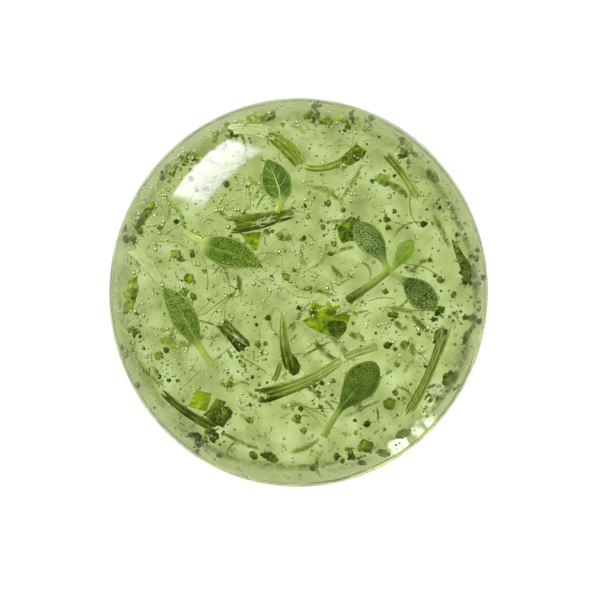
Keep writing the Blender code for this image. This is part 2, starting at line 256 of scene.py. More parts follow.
LONE_BUBBLES = 850
BUBBLE_CLUSTERS = 100
BUBBLE_CHAINS = 36
RIM_BUBBLES = 300
FROTH_SPOTS = [  # in mm
    (-7.0, 13.4), (-9.8, 12.7), (-18.2, 13.3), (6.3, 13.5), (-20.5, 3.0), (-21.0, -2.4), (-17.0, -4.6),
    (-19.4, -8.0), (-14.6, -18.4), (-12.0, -20.2), (-14.6, 17.6), (17.9, -13.2), (19.3, 12.4),
    (20.3, 9.9),
]
FROTH_BUBBLES = 16  # in each spot
FROTH_SPREAD = (0.9, 0.6)  # along x and y, in mm
CLUSTER_SPREAD = 0.6 * MM
CLUSTER_DEPTH = 0.2 * MM
CHAIN_PITCH = 0.42 * MM
RIM_BUBBLES_FROM = 0.84  # as a share of the radius
OUTERMOST_BUBBLE = 0.98
BUBBLE_SIZE = 0.3 * MM
FROTH_SIZE = 0.27 * MM  # a bubble under this size has few faces
CLEARANCE = 0.3 * MM  # between the bubbles or flecks and the gel's outside


def plan_radius(x, y):
    """The gel's radius in plan in the direction of a point: slightly oval."""
    return DOME_RADIUS * (1 + OVALITY * np.cos(2 * (np.arctan2(y, x) - LONG_AXIS)))


def rim_share(x, y):
    """How far out a point lies, from 0 on the axis to 1 at the rim."""
    return np.hypot(x, y) / plan_radius(x, y)


def dome_height(x, y):
    share = np.minimum(rim_share(x, y), 0.99)
    return RIM_HEIGHT + (DOME_HEIGHT - RIM_HEIGHT) * np.sqrt(1 - share**2)


def bed_height(x, y):
    return BED_RIM_HEIGHT + BED_RISE * (1 - rim_share(x, y) ** 2)


def seat(x, y, lift):
    """Where points lie in the gel, this far off the bed, if they are seen at x, y from above."""
    x, y, lift = np.broadcast_arrays(x, y, lift)
    top_x, top_y = x, y
    for _ in range(4):
        climb = (dome_height(top_x, top_y) - RIM_HEIGHT) / VIEW_DISTANCE
        top_x, top_y = x * (1 - climb), y * (1 - climb)
    top_z = dome_height(top_x, top_y)
    ray = np.stack([top_x, top_y, top_z - RIM_HEIGHT - VIEW_DISTANCE], -1)
    ray /= np.linalg.norm(ray, axis=-1, keepdims=True)
    step = 0.01 * MM
    slope_x = (dome_height(top_x + step, top_y) - dome_height(top_x - step, top_y)) / (2 * step)
    slope_y = (dome_height(top_x, top_y + step) - dome_height(top_x, top_y - step)) / (2 * step)
    normal = np.stack([-slope_x, -slope_y, np.ones_like(slope_x)], -1)
    normal /= np.linalg.norm(normal, axis=-1, keepdims=True)
    against = -np.sum(ray * normal, -1, keepdims=True)
    straight = np.sqrt(1 - (1 - against**2) / GEL_INDEX**2)
    inside = ray / GEL_INDEX + (against / GEL_INDEX - straight) * normal
    place_x, place_y = top_x, top_y
    for _ in range(4):
        height = bed_height(place_x, place_y) + lift
        reach = (height - top_z) / inside[..., 2]
        place_x, place_y = top_x + inside[..., 0] * reach, top_y + inside[..., 1] * reach
    return np.stack([place_x, place_y, height], -1)


def new_material(name, roughness, glow_through=0.0):
    """A named material, its node tree and its shader. Thin plant parts let light glow through them."""
    material = bpy.data.materials.new(name)
    material.use_nodes = True
    shader = material.node_tree.nodes["Principled BSDF"]
    fill(shader, {"Roughness": roughness, "IOR": PLANT_INDEX, "Subsurface Weight": glow_through,
                  "Subsurface Radius": (1.0, 1.0, 0.2), "Subsurface Scale": GLOW_REACH})
    return material, material.node_tree, shader


def new_mesh_object(name, points, faces, material):
    """A mesh object at the origin, with its faces pointing outwards and smooth."""
    mesh = bpy.data.meshes.new(name)
    mesh.from_pydata([tuple(p) for p in points], [], faces)
    shape = bmesh.new()
    shape.from_mesh(mesh)
    bmesh.ops.recalc_face_normals(shape, faces=shape.faces)
    shape.to_mesh(mesh)
    shape.free()
    mesh.materials.append(material)
    mesh.shade_smooth()
    piece = bpy.data.objects.new(name, mesh)
    bpy.context.scene.collection.objects.link(piece)
    return piece


def dome_profile():
    """Radii and heights from the top down the side, round the rim and the foot, to the underside."""
    rise = DOME_HEIGHT - RIM_HEIGHT
    depth = RIM_HEIGHT / sin(FOOT_ANGLE)
    profile = []
    for i in range(1, DOME_RINGS + 1):
        angle = pi / 2 * i / DOME_RINGS
        profile.append((DOME_RADIUS * sin(angle), RIM_HEIGHT + rise * cos(angle)))
    for i in range(1, FOOT_RINGS + 1):
        angle = FOOT_ANGLE * i / FOOT_RINGS
        profile.append((DOME_RADIUS - FOOT_ROUNDING * (1 - cos(angle)), RIM_HEIGHT - depth * sin(angle)))
    return profile


def dome_body(material):
    """The plain gel dome, turned from its profile and stretched to its oval plan."""
    points = [(0, 0, DOME_HEIGHT)]
    profile = dome_profile()
    for radius, height in profile:
        for i in range(DOME_SEGMENTS):
            angle = 2 * pi * i / DOME_SEGMENTS
            reach = radius * plan_radius(cos(angle), sin(angle)) / DOME_RADIUS
            points.append((reach * cos(angle), reach * sin(angle), height))
    points.append((0, 0, 0))
    faces = []
    for i in range(DOME_SEGMENTS):
        after = (i + 1) % DOME_SEGMENTS
        faces.append((0, 1 + i, 1 + after))
        for ring in range(len(profile) - 1):
            near = 1 + ring * DOME_SEGMENTS
            far = near + DOME_SEGMENTS
            faces.append((near + i, far + i, far + after, near + after))
        faces.append((far + i, len(points) - 1, far + after))
    body = new_mesh_object("clear_gel", points, faces, material)
    body.data.set_sharp_from_angle(angle=radians(30))
    return body


def spread_places(picker, count, densest=(0, 0), pull=0.0, outermost=0.97):
    """Seen places all over the dome, as x and y. With a pull, they thicken towards one place."""
    places = []
    while len(places) < count:
        x, y = (picker.uniform(-1, 1) * DOME_RADIUS for _ in range(2))
        if rim_share(x, y) > outermost:
            continue
        away = sqrt((x - densest[0]) ** 2 + (y - densest[1]) ** 2) / (2 * DOME_RADIUS)
        if picker.random() > 1 - pull * min(away, 1):
            continue
        places.append((x, y))
    return places


def clustered(picker, middles, lifts, counts, spread):
    """Places in loose clusters, one round each middle, each cluster at about one depth."""
    places = []
    for x, y in middles:
        lift = picker.uniform(*lifts) * MM
        for _ in range(picker.randint(*counts)):
            near_x, near_y = picker.gauss(x, spread), picker.gauss(y, spread)
            places.append((near_x, near_y, lift + picker.gauss(0, CLUSTER_DEPTH)))
    return places


def bubble_places(picker):
    """Bubbles alone, in clusters, in froth, at the rim and in chains, thicker towards the upper left."""
    left = (-14 * MM, 8 * MM)
    lone = spread_places(picker, LONE_BUBBLES, left, pull=1.1)
    places = [(x, y, picker.uniform(-3.5, 0.5) * MM) for x, y in lone]
    clusters = spread_places(picker, BUBBLE_CLUSTERS, left, pull=0.9, outermost=0.9)
    places += clustered(picker, clusters, lifts=(-3, 0.3), counts=(4, 11), spread=CLUSTER_SPREAD)
    for x, y in FROTH_SPOTS:
        for _ in range(FROTH_BUBBLES):
            near_x, near_y = picker.gauss(x, FROTH_SPREAD[0]) * MM, picker.gauss(y, FROTH_SPREAD[1]) * MM
            places.append((near_x, near_y, picker.uniform(-1, 0.4) * MM))
    for _ in range(RIM_BUBBLES):
        turn, reach = picker.uniform(0, 2 * pi), picker.uniform(RIM_BUBBLES_FROM, OUTERMOST_BUBBLE)
        x, y = reach * DOME_RADIUS * cos(turn), reach * DOME_RADIUS * sin(turn)
        places.append((x, y, picker.uniform(-1.5, 0.2) * MM))
    for x, y in spread_places(picker, BUBBLE_CHAINS, left, pull=0.8, outermost=0.85):
        heading = picker.uniform(0, 2 * pi)
        bend = picker.uniform(-0.25, 0.25)
        lift = picker.uniform(-2, 0.5) * MM
        for _ in range(picker.randint(6, 13)):
            x += CHAIN_PITCH * cos(heading)
            y += CHAIN_PITCH * sin(heading)
            heading += bend
            places.append((x, y, lift))
    return [place for place in places if rim_share(*place[:2]) < OUTERMOST_BUBBLE]


def points_object(name, places, sizes):
    """A mesh of lone points in the gel, each with its size."""
    x, y, lift = np.array(places).T
    settled = seat(x, y, lift)
    margin = CLEARANCE + np.array(sizes)
    ceiling = dome_height(settled[:, 0], settled[:, 1]) - 1.5 * margin
    settled[:, 2] = np.clip(settled[:, 2], margin, np.maximum(ceiling, margin))
    mesh = bpy.data.meshes.new(name)
    mesh.from_pydata([tuple(p) for p in settled], [], [])
    mesh.attributes.new("size", "FLOAT", "POINT").data.foreach_set("value", sizes)
    holder = bpy.data.objects.new(name, mesh)
    bpy.context.scene.collection.objects.link(holder)
    return holder


def grain_tree(name, roundness):
    """Geometry Nodes that put a small closed grain on each point of a mesh, by its size attribute."""
    tree = bpy.data.node_groups.new(name, "GeometryNodeTree")
    tree.is_modifier = True
    sockets = {"Geometry": ("Geometry", None), "Flatness": ("Float", 1.0), "Unevenness": ("Float", 0.0),
               "Seed": ("Int", 1), "Material": ("Material", None)}
    for title, (kind, usual) in sockets.items():
        socket = tree.interface.new_socket(title, in_out="INPUT", socket_type="NodeSocket" + kind)
        if usual is not None:
            socket.default_value = usual
    tree.interface.new_socket("Geometry", in_out="OUTPUT", socket_type="NodeSocketGeometry")
    given = tree.nodes.new("NodeGroupInput").outputs

    def drawn(lowest, highest):
        """A random vector for each point, from its lowest to its highest, by the seed."""
        limits = {"Min": lowest, "Max": highest, "Seed": given["Seed"]}
        return add(tree, "FunctionNodeRandomValue", limits, data_type="FLOAT_VECTOR")

    ball = add(tree, "GeometryNodeMeshIcoSphere", {"Radius": 0.5, "Subdivisions": roundness})
    squash = add(tree, "ShaderNodeCombineXYZ", {"X": 1, "Y": 1, "Z": given["Flatness"]})
    flattened = add(tree, "GeometryNodeTransform", {"Geometry": ball, "Scale": squash})
    size = add(tree, "GeometryNodeInputNamedAttribute", {"Name": "size"}, data_type="FLOAT")
    turn = drawn((-0.7, -0.7, -pi), (0.7, 0.7, pi))
    each = add(tree, "GeometryNodeInstanceOnPoints",
               {"Points": given["Geometry"], "Instance": flattened, "Rotation": turn, "Scale": size})
    tone = add(tree, "FunctionNodeRandomValue", {"Seed": given["Seed"]}, 1, data_type="FLOAT")
    toned = add(tree, "GeometryNodeStoreNamedAttribute", {"Geometry": each, "Name": "tone", "Value": tone},
                data_type="FLOAT", domain="INSTANCE")
    whole = add(tree, "GeometryNodeRealizeInstances", {"Geometry": toned})
    jitter = drawn((-0.5, -0.5, -0.2), (0.5, 0.5, 0.2))
    for factor in (size, given["Unevenness"]):
        jitter = add(tree, "ShaderNodeVectorMath", {0: jitter, "Scale": factor}, operation="SCALE")
    moved = add(tree, "GeometryNodeSetPosition", {"Geometry": whole, "Offset": jitter})
    smooth = add(tree, "GeometryNodeSetShadeSmooth", {"Geometry": moved})
    finish = add(tree, "GeometryNodeSetMaterial", {"Geometry": smooth, "Material": given["Material"]})
    fill(tree.nodes.new("NodeGroupOutput"), {"Geometry": finish})
    return tree


def grow(holder, tree, **values):
    """Runs a Geometry Nodes tree on an object and leaves the result as its plain mesh."""
    modifier = holder.modifiers.new(tree.name, "NODES")
    modifier.node_group = tree
    for socket in tree.interface.items_tree:
        if socket.in_out == "INPUT" and socket.name in values:
            modifier[socket.identifier] = values[socket.name]
    ready = holder.evaluated_get(bpy.context.evaluated_depsgraph_get())
    mesh = bpy.data.meshes.new_from_object(ready)
    holder.modifiers.clear()
    holder.data = mesh
    return holder


def hollow_out(body, shape, wall_material):
    """Makes a hollow of a closed shape: its faces join the body's mesh, turned inwards."""
    body.data.materials.append(wall_material)
    both = bmesh.new()
    both.from_mesh(body.data)
    kept = len(both.faces)
    both.from_mesh(shape.data)
    both.faces.ensure_lookup_table()
    wall = both.faces[kept:]
    for face in wall:
        face.material_index = len(body.data.materials) - 1
    bmesh.ops.reverse_faces(both, faces=wall)
    both.to_mesh(body.data)
    both.free()
    bpy.data.objects.remove(shape)


def put_in(piece, body_slot, *nodes):
    """Every piece lies still in the gel, parented to the root, and the solids that it stands for are
    hidden. Its slot is not used.
    """
    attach(piece, "root")
    if nodes:
        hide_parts(*nodes)


def air_material(name, roughness, shine):
    """The wall of an air space in the gel: partly clear and partly a mirror, which is white if rough."""
    material, _, shader = new_material(name, roughness)
    fill(shader, {"Base Color": (1, 1, 1, 1), "Metallic": shine, "Transmission Weight": 1, "IOR": GEL_INDEX})
    return material


gel_material, gel_tree, gel_shader = new_material("clear_green_gel", roughness=0.0)
fill(gel_shader, {"Base Color": (*GEL_TINT, 1), "Transmission Weight": 1, "IOR": GEL_INDEX})
strongest = max(GEL_ABSORPTION)
let_through = (*[1 - share / strongest for share in GEL_ABSORPTION], 1)
absorption = add(gel_tree, "ShaderNodeVolumeAbsorption", {"Color": let_through, "Density": strongest})
fill(gel_tree.nodes["Material Output"], {"Volume": absorption})
gel = dome_body(gel_material)
bubble_picker = Random(4)
bubbles_at = bubble_places(bubble_picker)
bubble_sizes = [BUBBLE_SIZE * min(bubble_picker.lognormvariate(-0.1, 0.35), 2.2) for _ in bubbles_at]
froth = ("froth", 1, 0, FROTH_SIZE, air_material("froth_wall", roughness=0.3, shine=1.0))
large_bubbles = ("bubbles", 2, FROTH_SIZE, 1, air_material("bubble_wall", roughness=0.2, shine=0.8))
for name, roundness, smallest, largest, wall in (froth, large_bubbles):
    chosen = [i for i, size in enumerate(bubble_sizes) if smallest <= size < largest]
    bubbles = points_object(name, [bubbles_at[i] for i in chosen], [bubble_sizes[i] for i in chosen])
    hollow_out(gel, grow(bubbles, grain_tree(name + "_grains", roundness), Material=wall), wall)
put_in(gel, "gel", "gel_lower", "gel_upper")


# Whole leaves: small thick herb leaves on their own stalks, dark green and satin, cupped along a pale
# midrib. The line of each runs from the cut stalk to the tip. Places are seen from above, in mm.
LEAF_THICKNESS = 0.36 * MM
LEAF_CUP = 0.25 * MM
STALK_WIDTH = 0.8 * MM
TIP_WIDTH = 0.2 * MM
CELL_SIZE = 0.15 * MM
LEAVES = {
    # line, blade width, bare stalk share, widest at, lift, how blunt the base and the tip are
    "leaf_top": ([(-2.9, 10.4), (-2.4, 12.1), (-2.9, 14.5), (-4.0, 17.3)], 3.9, 0.18, 0.47, 0.8, 0.7,
                 0.9),
    "leaf_left": ([(-14.8, 8.0), (-12.3, 6.3), (-8.5, 5.0), (-4.7, 3.2)], 3.9, 0.24, 0.42, 0.3, 0.55,
                  0.95),
    "leaf_lower_left": ([(-11.0, -9.6), (-12.9, -7.0), (-15.1, -2.9), (-17.5, 0.5)], 3.5, 0.24, 0.52, 0.2,
                        1.15, 0.62),
    "leaf_bottom": ([(3.3, -18.8), (5.0, -15.8), (7.6, -12.4), (10.0, -9.1)], 4.5, 0.26, 0.64, 0.7, 1.2,
                    0.55),
}


def line_frame(line, shares):
    """Seen places at the given shares of the smooth line through a few points, and the way across it."""
    points = np.array(line) * MM
    run = np.concatenate([[0], np.cumsum(np.hypot(*np.diff(points, axis=0).T))])
    curves = [np.poly1d(np.polyfit(run / run[-1], axis, len(points) - 1)) for axis in points.T]
    middle = np.stack([curve(shares) for curve in curves], -1)
    ahead = np.stack([curve.deriv()(shares) for curve in curves], -1)
    ahead /= np.linalg.norm(ahead, axis=-1, keepdims=True)
    return middle, np.stack([-ahead[..., 1], ahead[..., 0]], -1)


def seat_beside(line, along, offset, lift):
    """Where points lie that are seen at shares of a line, this far to its left, and this far off the bed."""
    middle, sideways = line_frame(line, along)
    seen = middle + sideways * offset[..., None]
    return seat(seen[..., 0], seen[..., 1], lift)


def sheet_part(columns, rows, place):
    """Points, faces and UVs of a thin closed sheet. place(across, along, up) gives its two sides."""
    across, along = np.meshgrid(np.linspace(-1, 1, columns + 1), np.linspace(0, 1, rows + 1))
    top = place(across, along, 1).reshape(-1, 3)
    bottom = place(across, along, -1).reshape(-1, 3)
    index = np.arange(len(top)).reshape(rows + 1, columns + 1)
    corners = np.stack([index[:-1, :-1], index[:-1, 1:], index[1:, 1:], index[1:, :-1]], -1).reshape(-1, 4)
    edge = np.concatenate([index[0, :-1], index[:-1, -1], index[-1, :0:-1], index[:0:-1, 0]])
    onward = np.roll(edge, -1)
    walls = np.stack([edge, onward, onward + len(top), edge + len(top)], -1)
    faces = np.concatenate([corners, corners[:, ::-1] + len(top), walls])
    uvs = np.stack([(across + 1) / 2, along], -1).reshape(-1, 2)
    return np.concatenate([top, bottom]), faces.tolist(), np.concatenate([uvs, uvs])


def join_parts(name, parts, material, tones=None):
    """One piece from several closed parts, with their UVs and, if given, a tone for each part."""
    points, faces, uvs, shades = [], [], [], []
    for number, (part_points, part_faces, part_uvs) in enumerate(parts):
        start = sum(len(some) for some in points)
        points.append(part_points)
        faces += [[start + corner for corner in face] for face in part_faces]
        uvs.append(part_uvs)
        shades.append(np.broadcast_to(tones[number] if tones else 0.5, len(part_points)))
    piece = new_mesh_object(name, np.concatenate(points), faces, material)
    uvs, shades = np.concatenate(uvs), np.concatenate(shades)
    corners = np.empty(len(piece.data.loops), int)
    piece.data.loops.foreach_get("vertex_index", corners)
    piece.data.uv_layers.new(name="UVMap").data.foreach_set("uv", uvs[corners].ravel())
    piece.data.attributes.new("tone", "FLOAT", "POINT").data.foreach_set("value", shades)
    return piece


def blade_part(line, width, stalk, widest, lift, base_bluntness, tip_bluntness):
    """A blade that swells out of its stalk. Its edges stand up a little and its midrib is sunk."""
    bulge = log(0.5) / log(widest)

    def place(across, along, up):
        blade = np.clip((along - stalk) / (1 - stalk), 0, 1)
        bluntness = base_bluntness + (tip_bluntness - base_bluntness) * blade
        swell = width * MM / 2 * np.maximum(np.sin(pi * blade**bulge), 0) ** bluntness
        bare = np.where(along < 0.5, STALK_WIDTH * (1.15 - 0.5 * along), TIP_WIDTH)
        half = np.hypot(swell, bare / 2)
        spread = np.clip(swell / (width * MM / 2), 0, 1)
        thin = 1 - 0.65 * across**4 * spread
        rib = np.exp(-((across * half / (0.16 * MM)) ** 2)) * spread
        pillow = np.sin(2 * pi * (along * 9 - np.abs(across) * 1.3)) * np.abs(across) * (1 - across**2)
        relief = (0.02 * pillow * spread - 0.07 * rib) * MM if up > 0 else 0.08 * rib * -MM
        height = lift * MM + LEAF_CUP * across**2 * spread + up * LEAF_THICKNESS / 2 * thin + relief
        height += LEAF_THICKNESS * 0.5 * up * (1 - spread) * (0.7 - across**2)
        return seat_beside(line, along, across * half, height)

    return sheet_part(columns=28, rows=84, place=place)


def cell_distance(tree, size, feature="F1"):
    """How far each point lies from the middle, or with another feature from the wall, of its cell."""
    here = add(tree, "ShaderNodeTexCoord", output="Object")
    return add(tree, "ShaderNodeTexVoronoi", {"Vector": here, "Scale": 1 / size}, feature=feature)


def paint(tree, shader, skin, height=None, depth=0.0, **more):
    """Gives a shader its colour, and a relief of at most this depth."""
    if height is not None:
        more["Normal"] = add(tree, "ShaderNodeBump", {"Strength": 0.5, "Distance": depth, "Height": height})
    fill(shader, {"Base Color": skin, **more})


def leaf_material(name, leaf, deep, pale, rib, stalk_colour, side_veins, vein_lean, vein_strength, rib_reach,
                  frost, painted_lit_side):
    """Leaf skin: blotches, fine pale cells, a midrib, side veins, a thin pale margin, a pale stalk. The
    cells are painted paler on one side of the leaf, as painted light.
    """
    stalk = leaf[2]
    material, tree, shader = new_material(name, roughness=0.42, glow_through=0.1)
    uv = parted(tree, add(tree, "ShaderNodeUVMap"))
    leftward = times_plus(tree, uv["X"], 2.0, -1.0)
    aside = maths(tree, "ABSOLUTE", leftward)
    blade = times_plus(tree, uv["Y"], 1 / (1 - stalk), -stalk / (1 - stalk))

    blotches = smooth_step(tree, grain(tree, 1.3 * MM, detail=3.0), 0.36, 0.64)
    cells = smooth_step(tree, cell_distance(tree, CELL_SIZE), 0.5, 0.3)
    skin = mixed(tree, times(tree, blotches, 0.55), deep, pale)
    frosted = times_plus(tree, blade, 0.9 * frost, 0.6 * frost)
    # painted light: the frost cells are painted paler towards one side of the leaf
    frosted = times(tree, frosted, times_plus(tree, leftward, painted_lit_side, 1.0), cells)
    skin = mixed(tree, frosted, skin, rib)

    phase = times_plus(tree, aside, -vein_lean, times(tree, blade, side_veins))
    wobble = times_plus(tree, grain(tree, 1.1 * MM, detail=1.0, seed=3.0), 0.9, phase)
    wave = maths(tree, "ABSOLUTE", maths(tree, "SINE", times(tree, wobble, pi)))
    veins = times(tree, smooth_step(tree, wave, 0.24, 0.02), smooth_step(tree, aside, 0.95, 0.5))
    skin = mixed(tree, times(tree, veins, vein_strength), skin, rib)
    rib_width = times_plus(tree, blade, -0.07, 0.1)
    midrib = smooth_step(tree, maths(tree, "DIVIDE", aside, rib_width), 1.0, 0.35)
    midrib = times(tree, midrib, smooth_step(tree, blade, rib_reach, 0.5 * rib_reach))
    skin = mixed(tree, times(tree, midrib, min(1.0, vein_strength + 0.35)), skin, rib)
    skin = mixed(tree, times(tree, smooth_step(tree, aside, 0.82, 0.97), 0.5), skin, stalk_colour)
    skin = mixed(tree, smooth_step(tree, blade, -0.02, 0.2), stalk_colour, skin)
    paint(tree, shader, skin, times_plus(tree, cells, 0.4, times(tree, veins, -0.7)), 0.04 * MM)
    return material


leaf_skins = {
    # deepest green, paler green, midrib and frost, stalk and margin, side veins, their lean and strength,
    # reach of the midrib, frost, and painted light: how much paler its left side is painted (below 0, its
    # right)
    "leaf_top": ((0.06, 0.16, 0.0), (0.25, 0.41, 0.03), (0.9, 1.0, 0.66), (0.8, 0.94, 0.38), 5, 1.2, 0.7,
                 1.0, 0.3, 0.0),
    "leaf_left": ((0.07, 0.17, 0.0), (0.23, 0.38, 0.01), (0.8, 0.94, 0.4), (0.92, 1.0, 0.56), 6, 1.6, 0.1,
                  0.8, 0.7, 0.0),
    "leaf_lower_left": ((0.1, 0.2, 0.01), (0.3, 0.42, 0.04), (0.88, 0.98, 0.54), (0.88, 1.0, 0.38), 6,
                        1.6, 0.1, 0.8, 0.75, 0.0),
    "leaf_bottom": ((0.1, 0.2, 0.01), (0.32, 0.46, 0.06), (0.8, 0.96, 0.46), (0.9, 1.0, 0.44), 24, 3.0,
                    0.8, 0.6, 0.45, 0.5),
}
for node, leaf in LEAVES.items():
    skin = leaf_material(node + "_skin", leaf, *leaf_skins[node])
    put_in(join_parts("whole_" + node, [blade_part(*leaf)], skin), "dark_leaf", node)


# The sprig: a round pale stem, cut square at its lower end, that forks into three blunt leaves on
# short stalks. The leaves are frosted with fine pale hairs, and their frost is painted paler on one
# side as painted light.
SPRIG_STEM = ([(6.3, -1.1), (9.0, 0.7), (11.7, 2.7)], (1.15, 0.85), 0.3)  # line, widths, lift
STEM_RIDGES = 9
SPRIG_LEAVES = {
    "sprig_leaf_upper": ([(11.6, 2.6), (11.0, 4.3), (9.3, 6.8), (7.5, 9.0)], 3.5, 0.14, 0.6, 0.6, 1.0,
                         0.55),
    "sprig_leaf_small": ([(11.7, 2.7), (12.6, 3.6), (13.9, 5.4), (14.7, 6.9)], 2.2, 0.15, 0.6, 0.3, 1.0,
                         0.55),
    "sprig_leaf_right": ([(11.7, 2.6), (13.5, 1.7), (15.8, -0.2), (18.0, -2.0)], 3.6, 0.2, 0.58, 0.3, 1.0,
                         0.55),
}
sprig_skins = {
    "sprig_leaf_upper": ((0.06, 0.18, 0.01), (0.28, 0.5, 0.1), (1.0, 1.0, 0.86), (0.84, 1.0, 0.36), 7,
                         1.5, 0.1, 0.3, 1.0, 0.8),
    "sprig_leaf_small": ((0.28, 0.5, 0.03), (0.58, 0.82, 0.12), (1.0, 1.0, 0.76), (0.84, 1.0, 0.36), 6,
                         1.4, 0.1, 0.7, 0.6, 0.8),
    "sprig_leaf_right": ((0.06, 0.17, 0.01), (0.25, 0.43, 0.06), (1.0, 1.0, 0.7), (0.96, 1.0, 0.66), 7,
                         1.5, 0.1, 0.3, 0.75, -0.3),
}


def tube_part(sides, rows, place):
    """Points, faces and UVs of a closed tube. place(turn, along) gives a point round it."""
    turn, along = np.meshgrid(np.arange(sides) / sides * 2 * pi, np.linspace(0, 1, rows + 1))
    points = place(turn, along).reshape(-1, 3)
    index = np.arange(len(points)).reshape(rows + 1, sides)
    beside = np.roll(index, -1, 1)
    walls = np.stack([index[:-1], beside[:-1], beside[1:], index[1:]], -1).reshape(-1, 4)
    faces = walls.tolist() + [index[0, ::-1].tolist(), index[-1].tolist()]
    return points, faces, np.stack([turn / (2 * pi), along], -1).reshape(-1, 2)


def stem_part(line, widths, lift):
    """A round stem with faint ridges, slightly rounded at its cut ends."""

    def place(turn, along):
        radius = (widths[0] + (widths[1] - widths[0]) * along) * MM / 2
        radius = radius * (1 + 0.035 * np.cos(STEM_RIDGES * turn))
        radius = radius * np.minimum(1, 0.72 + 14 * np.minimum(along, 1 - along))
        return seat_beside(line, along, radius * np.cos(turn), lift * MM + radius * np.sin(turn))

    return tube_part(sides=20, rows=60, place=place)


def stem_material(name, foot, top, streak, cut):
    """Stem skin: one colour at the cut foot and another at the top, with fine streaks along it."""
    material, tree, shader = new_material(name, roughness=0.4, glow_through=0.1)
    uv = parted(tree, add(tree, "ShaderNodeUVMap"))
    skin = mixed(tree, smooth_step(tree, uv["Y"], 0.05, 0.75), foot, top)
    ridges = maths(tree, "SINE", times(tree, uv["X"], 2 * pi * STEM_RIDGES))
    uneven = smooth_step(tree, grain(tree, 0.5 * MM), 0.4, 0.65)
    skin = mixed(tree, times(tree, smooth_step(tree, ridges, 0.2, 1.0), uneven, 0.5), skin, streak)
    paint(tree, shader, mixed(tree, smooth_step(tree, uv["Y"], 0.045, 0.0), skin, cut))
    return material


stem_skin = stem_material("sprig_stem_skin", (0.18, 0.21, 0.03), (0.68, 0.76, 0.28), (0.84, 0.90, 0.46),
                          (0.22, 0.24, 0.07))
put_in(join_parts("round_sprig_stem", [stem_part(*SPRIG_STEM)], stem_skin), "pale_stem", "sprig_stem")
for node, leaf in SPRIG_LEAVES.items():
    skin = leaf_material(node + "_skin", leaf, *sprig_skins[node])
    put_in(join_parts("frosted_" + node, [blade_part(*leaf)], skin), "dark_leaf", node)


# Cut strips of stem: flat bundles of parallel fibres, split and ragged at both ends, olive green
# with dark edges and pale streaks. The stalks are the same, but pale.
STRIP_THICKNESS = 0.5 * MM
STRAND_OVERLAP = 1.5
STRIPS = {
    # finish, line, widths along it, lift, strands, spread of the ends,
    # dark strand, pale strand and how much paler its far end is
    "strip_long": ("olive_stem", [(-5.9, -13.7), (0.2, -11.9), (5.9, -8.5)], (1.8, 1.1), -0.4, 5,
                   (0.3, 0.0), (0.0, 0.4, 1.35)),
    "strip_long_tip": ("pale_stem", [(5.6, -8.6), (8.3, -7.6), (10.4, -6.9)], (1.0, 0.9), -0.4, 4,
                       (0.0, 0.4), (0.4, 0.9, 0.0)),
    "strip_wet": ("olive_stem", [(-9.3, 8.5), (-5.0, 9.3), (-0.4, 10.3)], (2.3, 2.2, 0.9), 0.3, 6,
                  (0.0, 0.3), (0.05, 0.25, 0.1)),
    "strip_short": ("olive_stem", [(-10.3, -3.8), (-8.6, -5.5), (-6.9, -7.5)], (1.5, 1.8), 0.0, 4,
                    (0.2, 0.25), (0.0, 0.25, -0.1)),
    "strip_middle": ("olive_stem", [(-1.9, -1.8), (-1.9, -6.2), (-1.0, -10.2)], (0.35, 1.0, 1.3), 0.4, 4,
                     (0.1, 0.1), (0.8, 1.3, -0.9)),
    "strip_right": ("olive_stem", [(19.3, -4.1), (17.1, -10.3), (14.0, -16.1)], (1.35, 1.0), 0.3, 6,
                    (0.1, 0.3), (0.35, 1.1, 0.3)),
    "strip_upper_right": ("olive_stem", [(10.9, 18.4), (13.3, 15.7), (15.8, 11.8)], (0.8, 1.0), 0.0, 4,
                          (0.4, 0.2), (-0.1, 0.5, 0.9)),
    "strip_lower_left": ("olive_stem", [(-18.1, -12.6), (-14.4, -15.7), (-10.5, -17.8)], (0.7, 1.1), 0.9,
                         4, (0.0, 0.2), (0.1, 0.2, 0.0)),
    "strip_top_pale": ("pale_stem", [(-9.6, 20.9), (-6.3, 21.2), (-3.7, 20.5)], (1.0, 1.8), 0.0, 6,
                       (0.4, 0.2), (1.1, 1.6, 0.0)),
    "strip_top_olive": ("olive_stem", [(-3.7, 20.4), (-1.5, 18.8), (0.4, 16.4)], (1.3, 1.9, 1.5), 0.0, 6,
                        (0.1, 0.2), (0.35, 0.6, 0.1)),
    "stalk_top": ("pale_stem", [(0.6, 16.5), (2.8, 16.2), (5.4, 17.1)], (0.8, 1.1), 0.0, 4, (0.4, 0.1),
                  (-0.2, 0.3, 0.0)),
    "stalk_left": ("pale_stem", [(-21.9, 6.0), (-19.9, 3.9), (-17.6, 0.8)], (1.6, 1.1), 0.0, 5,
                   (0.2, 0.0), (1.2, 1.7, 0.0)),
    "stalk_middle": ("pale_stem", [(-2.3, -9.0), (-2.7, -10.4), (-3.3, -11.6)], (0.5, 0.7), -0.9, 3,
                     (0.0, 0.1), (0.1, 0.8, 0.0)),
}


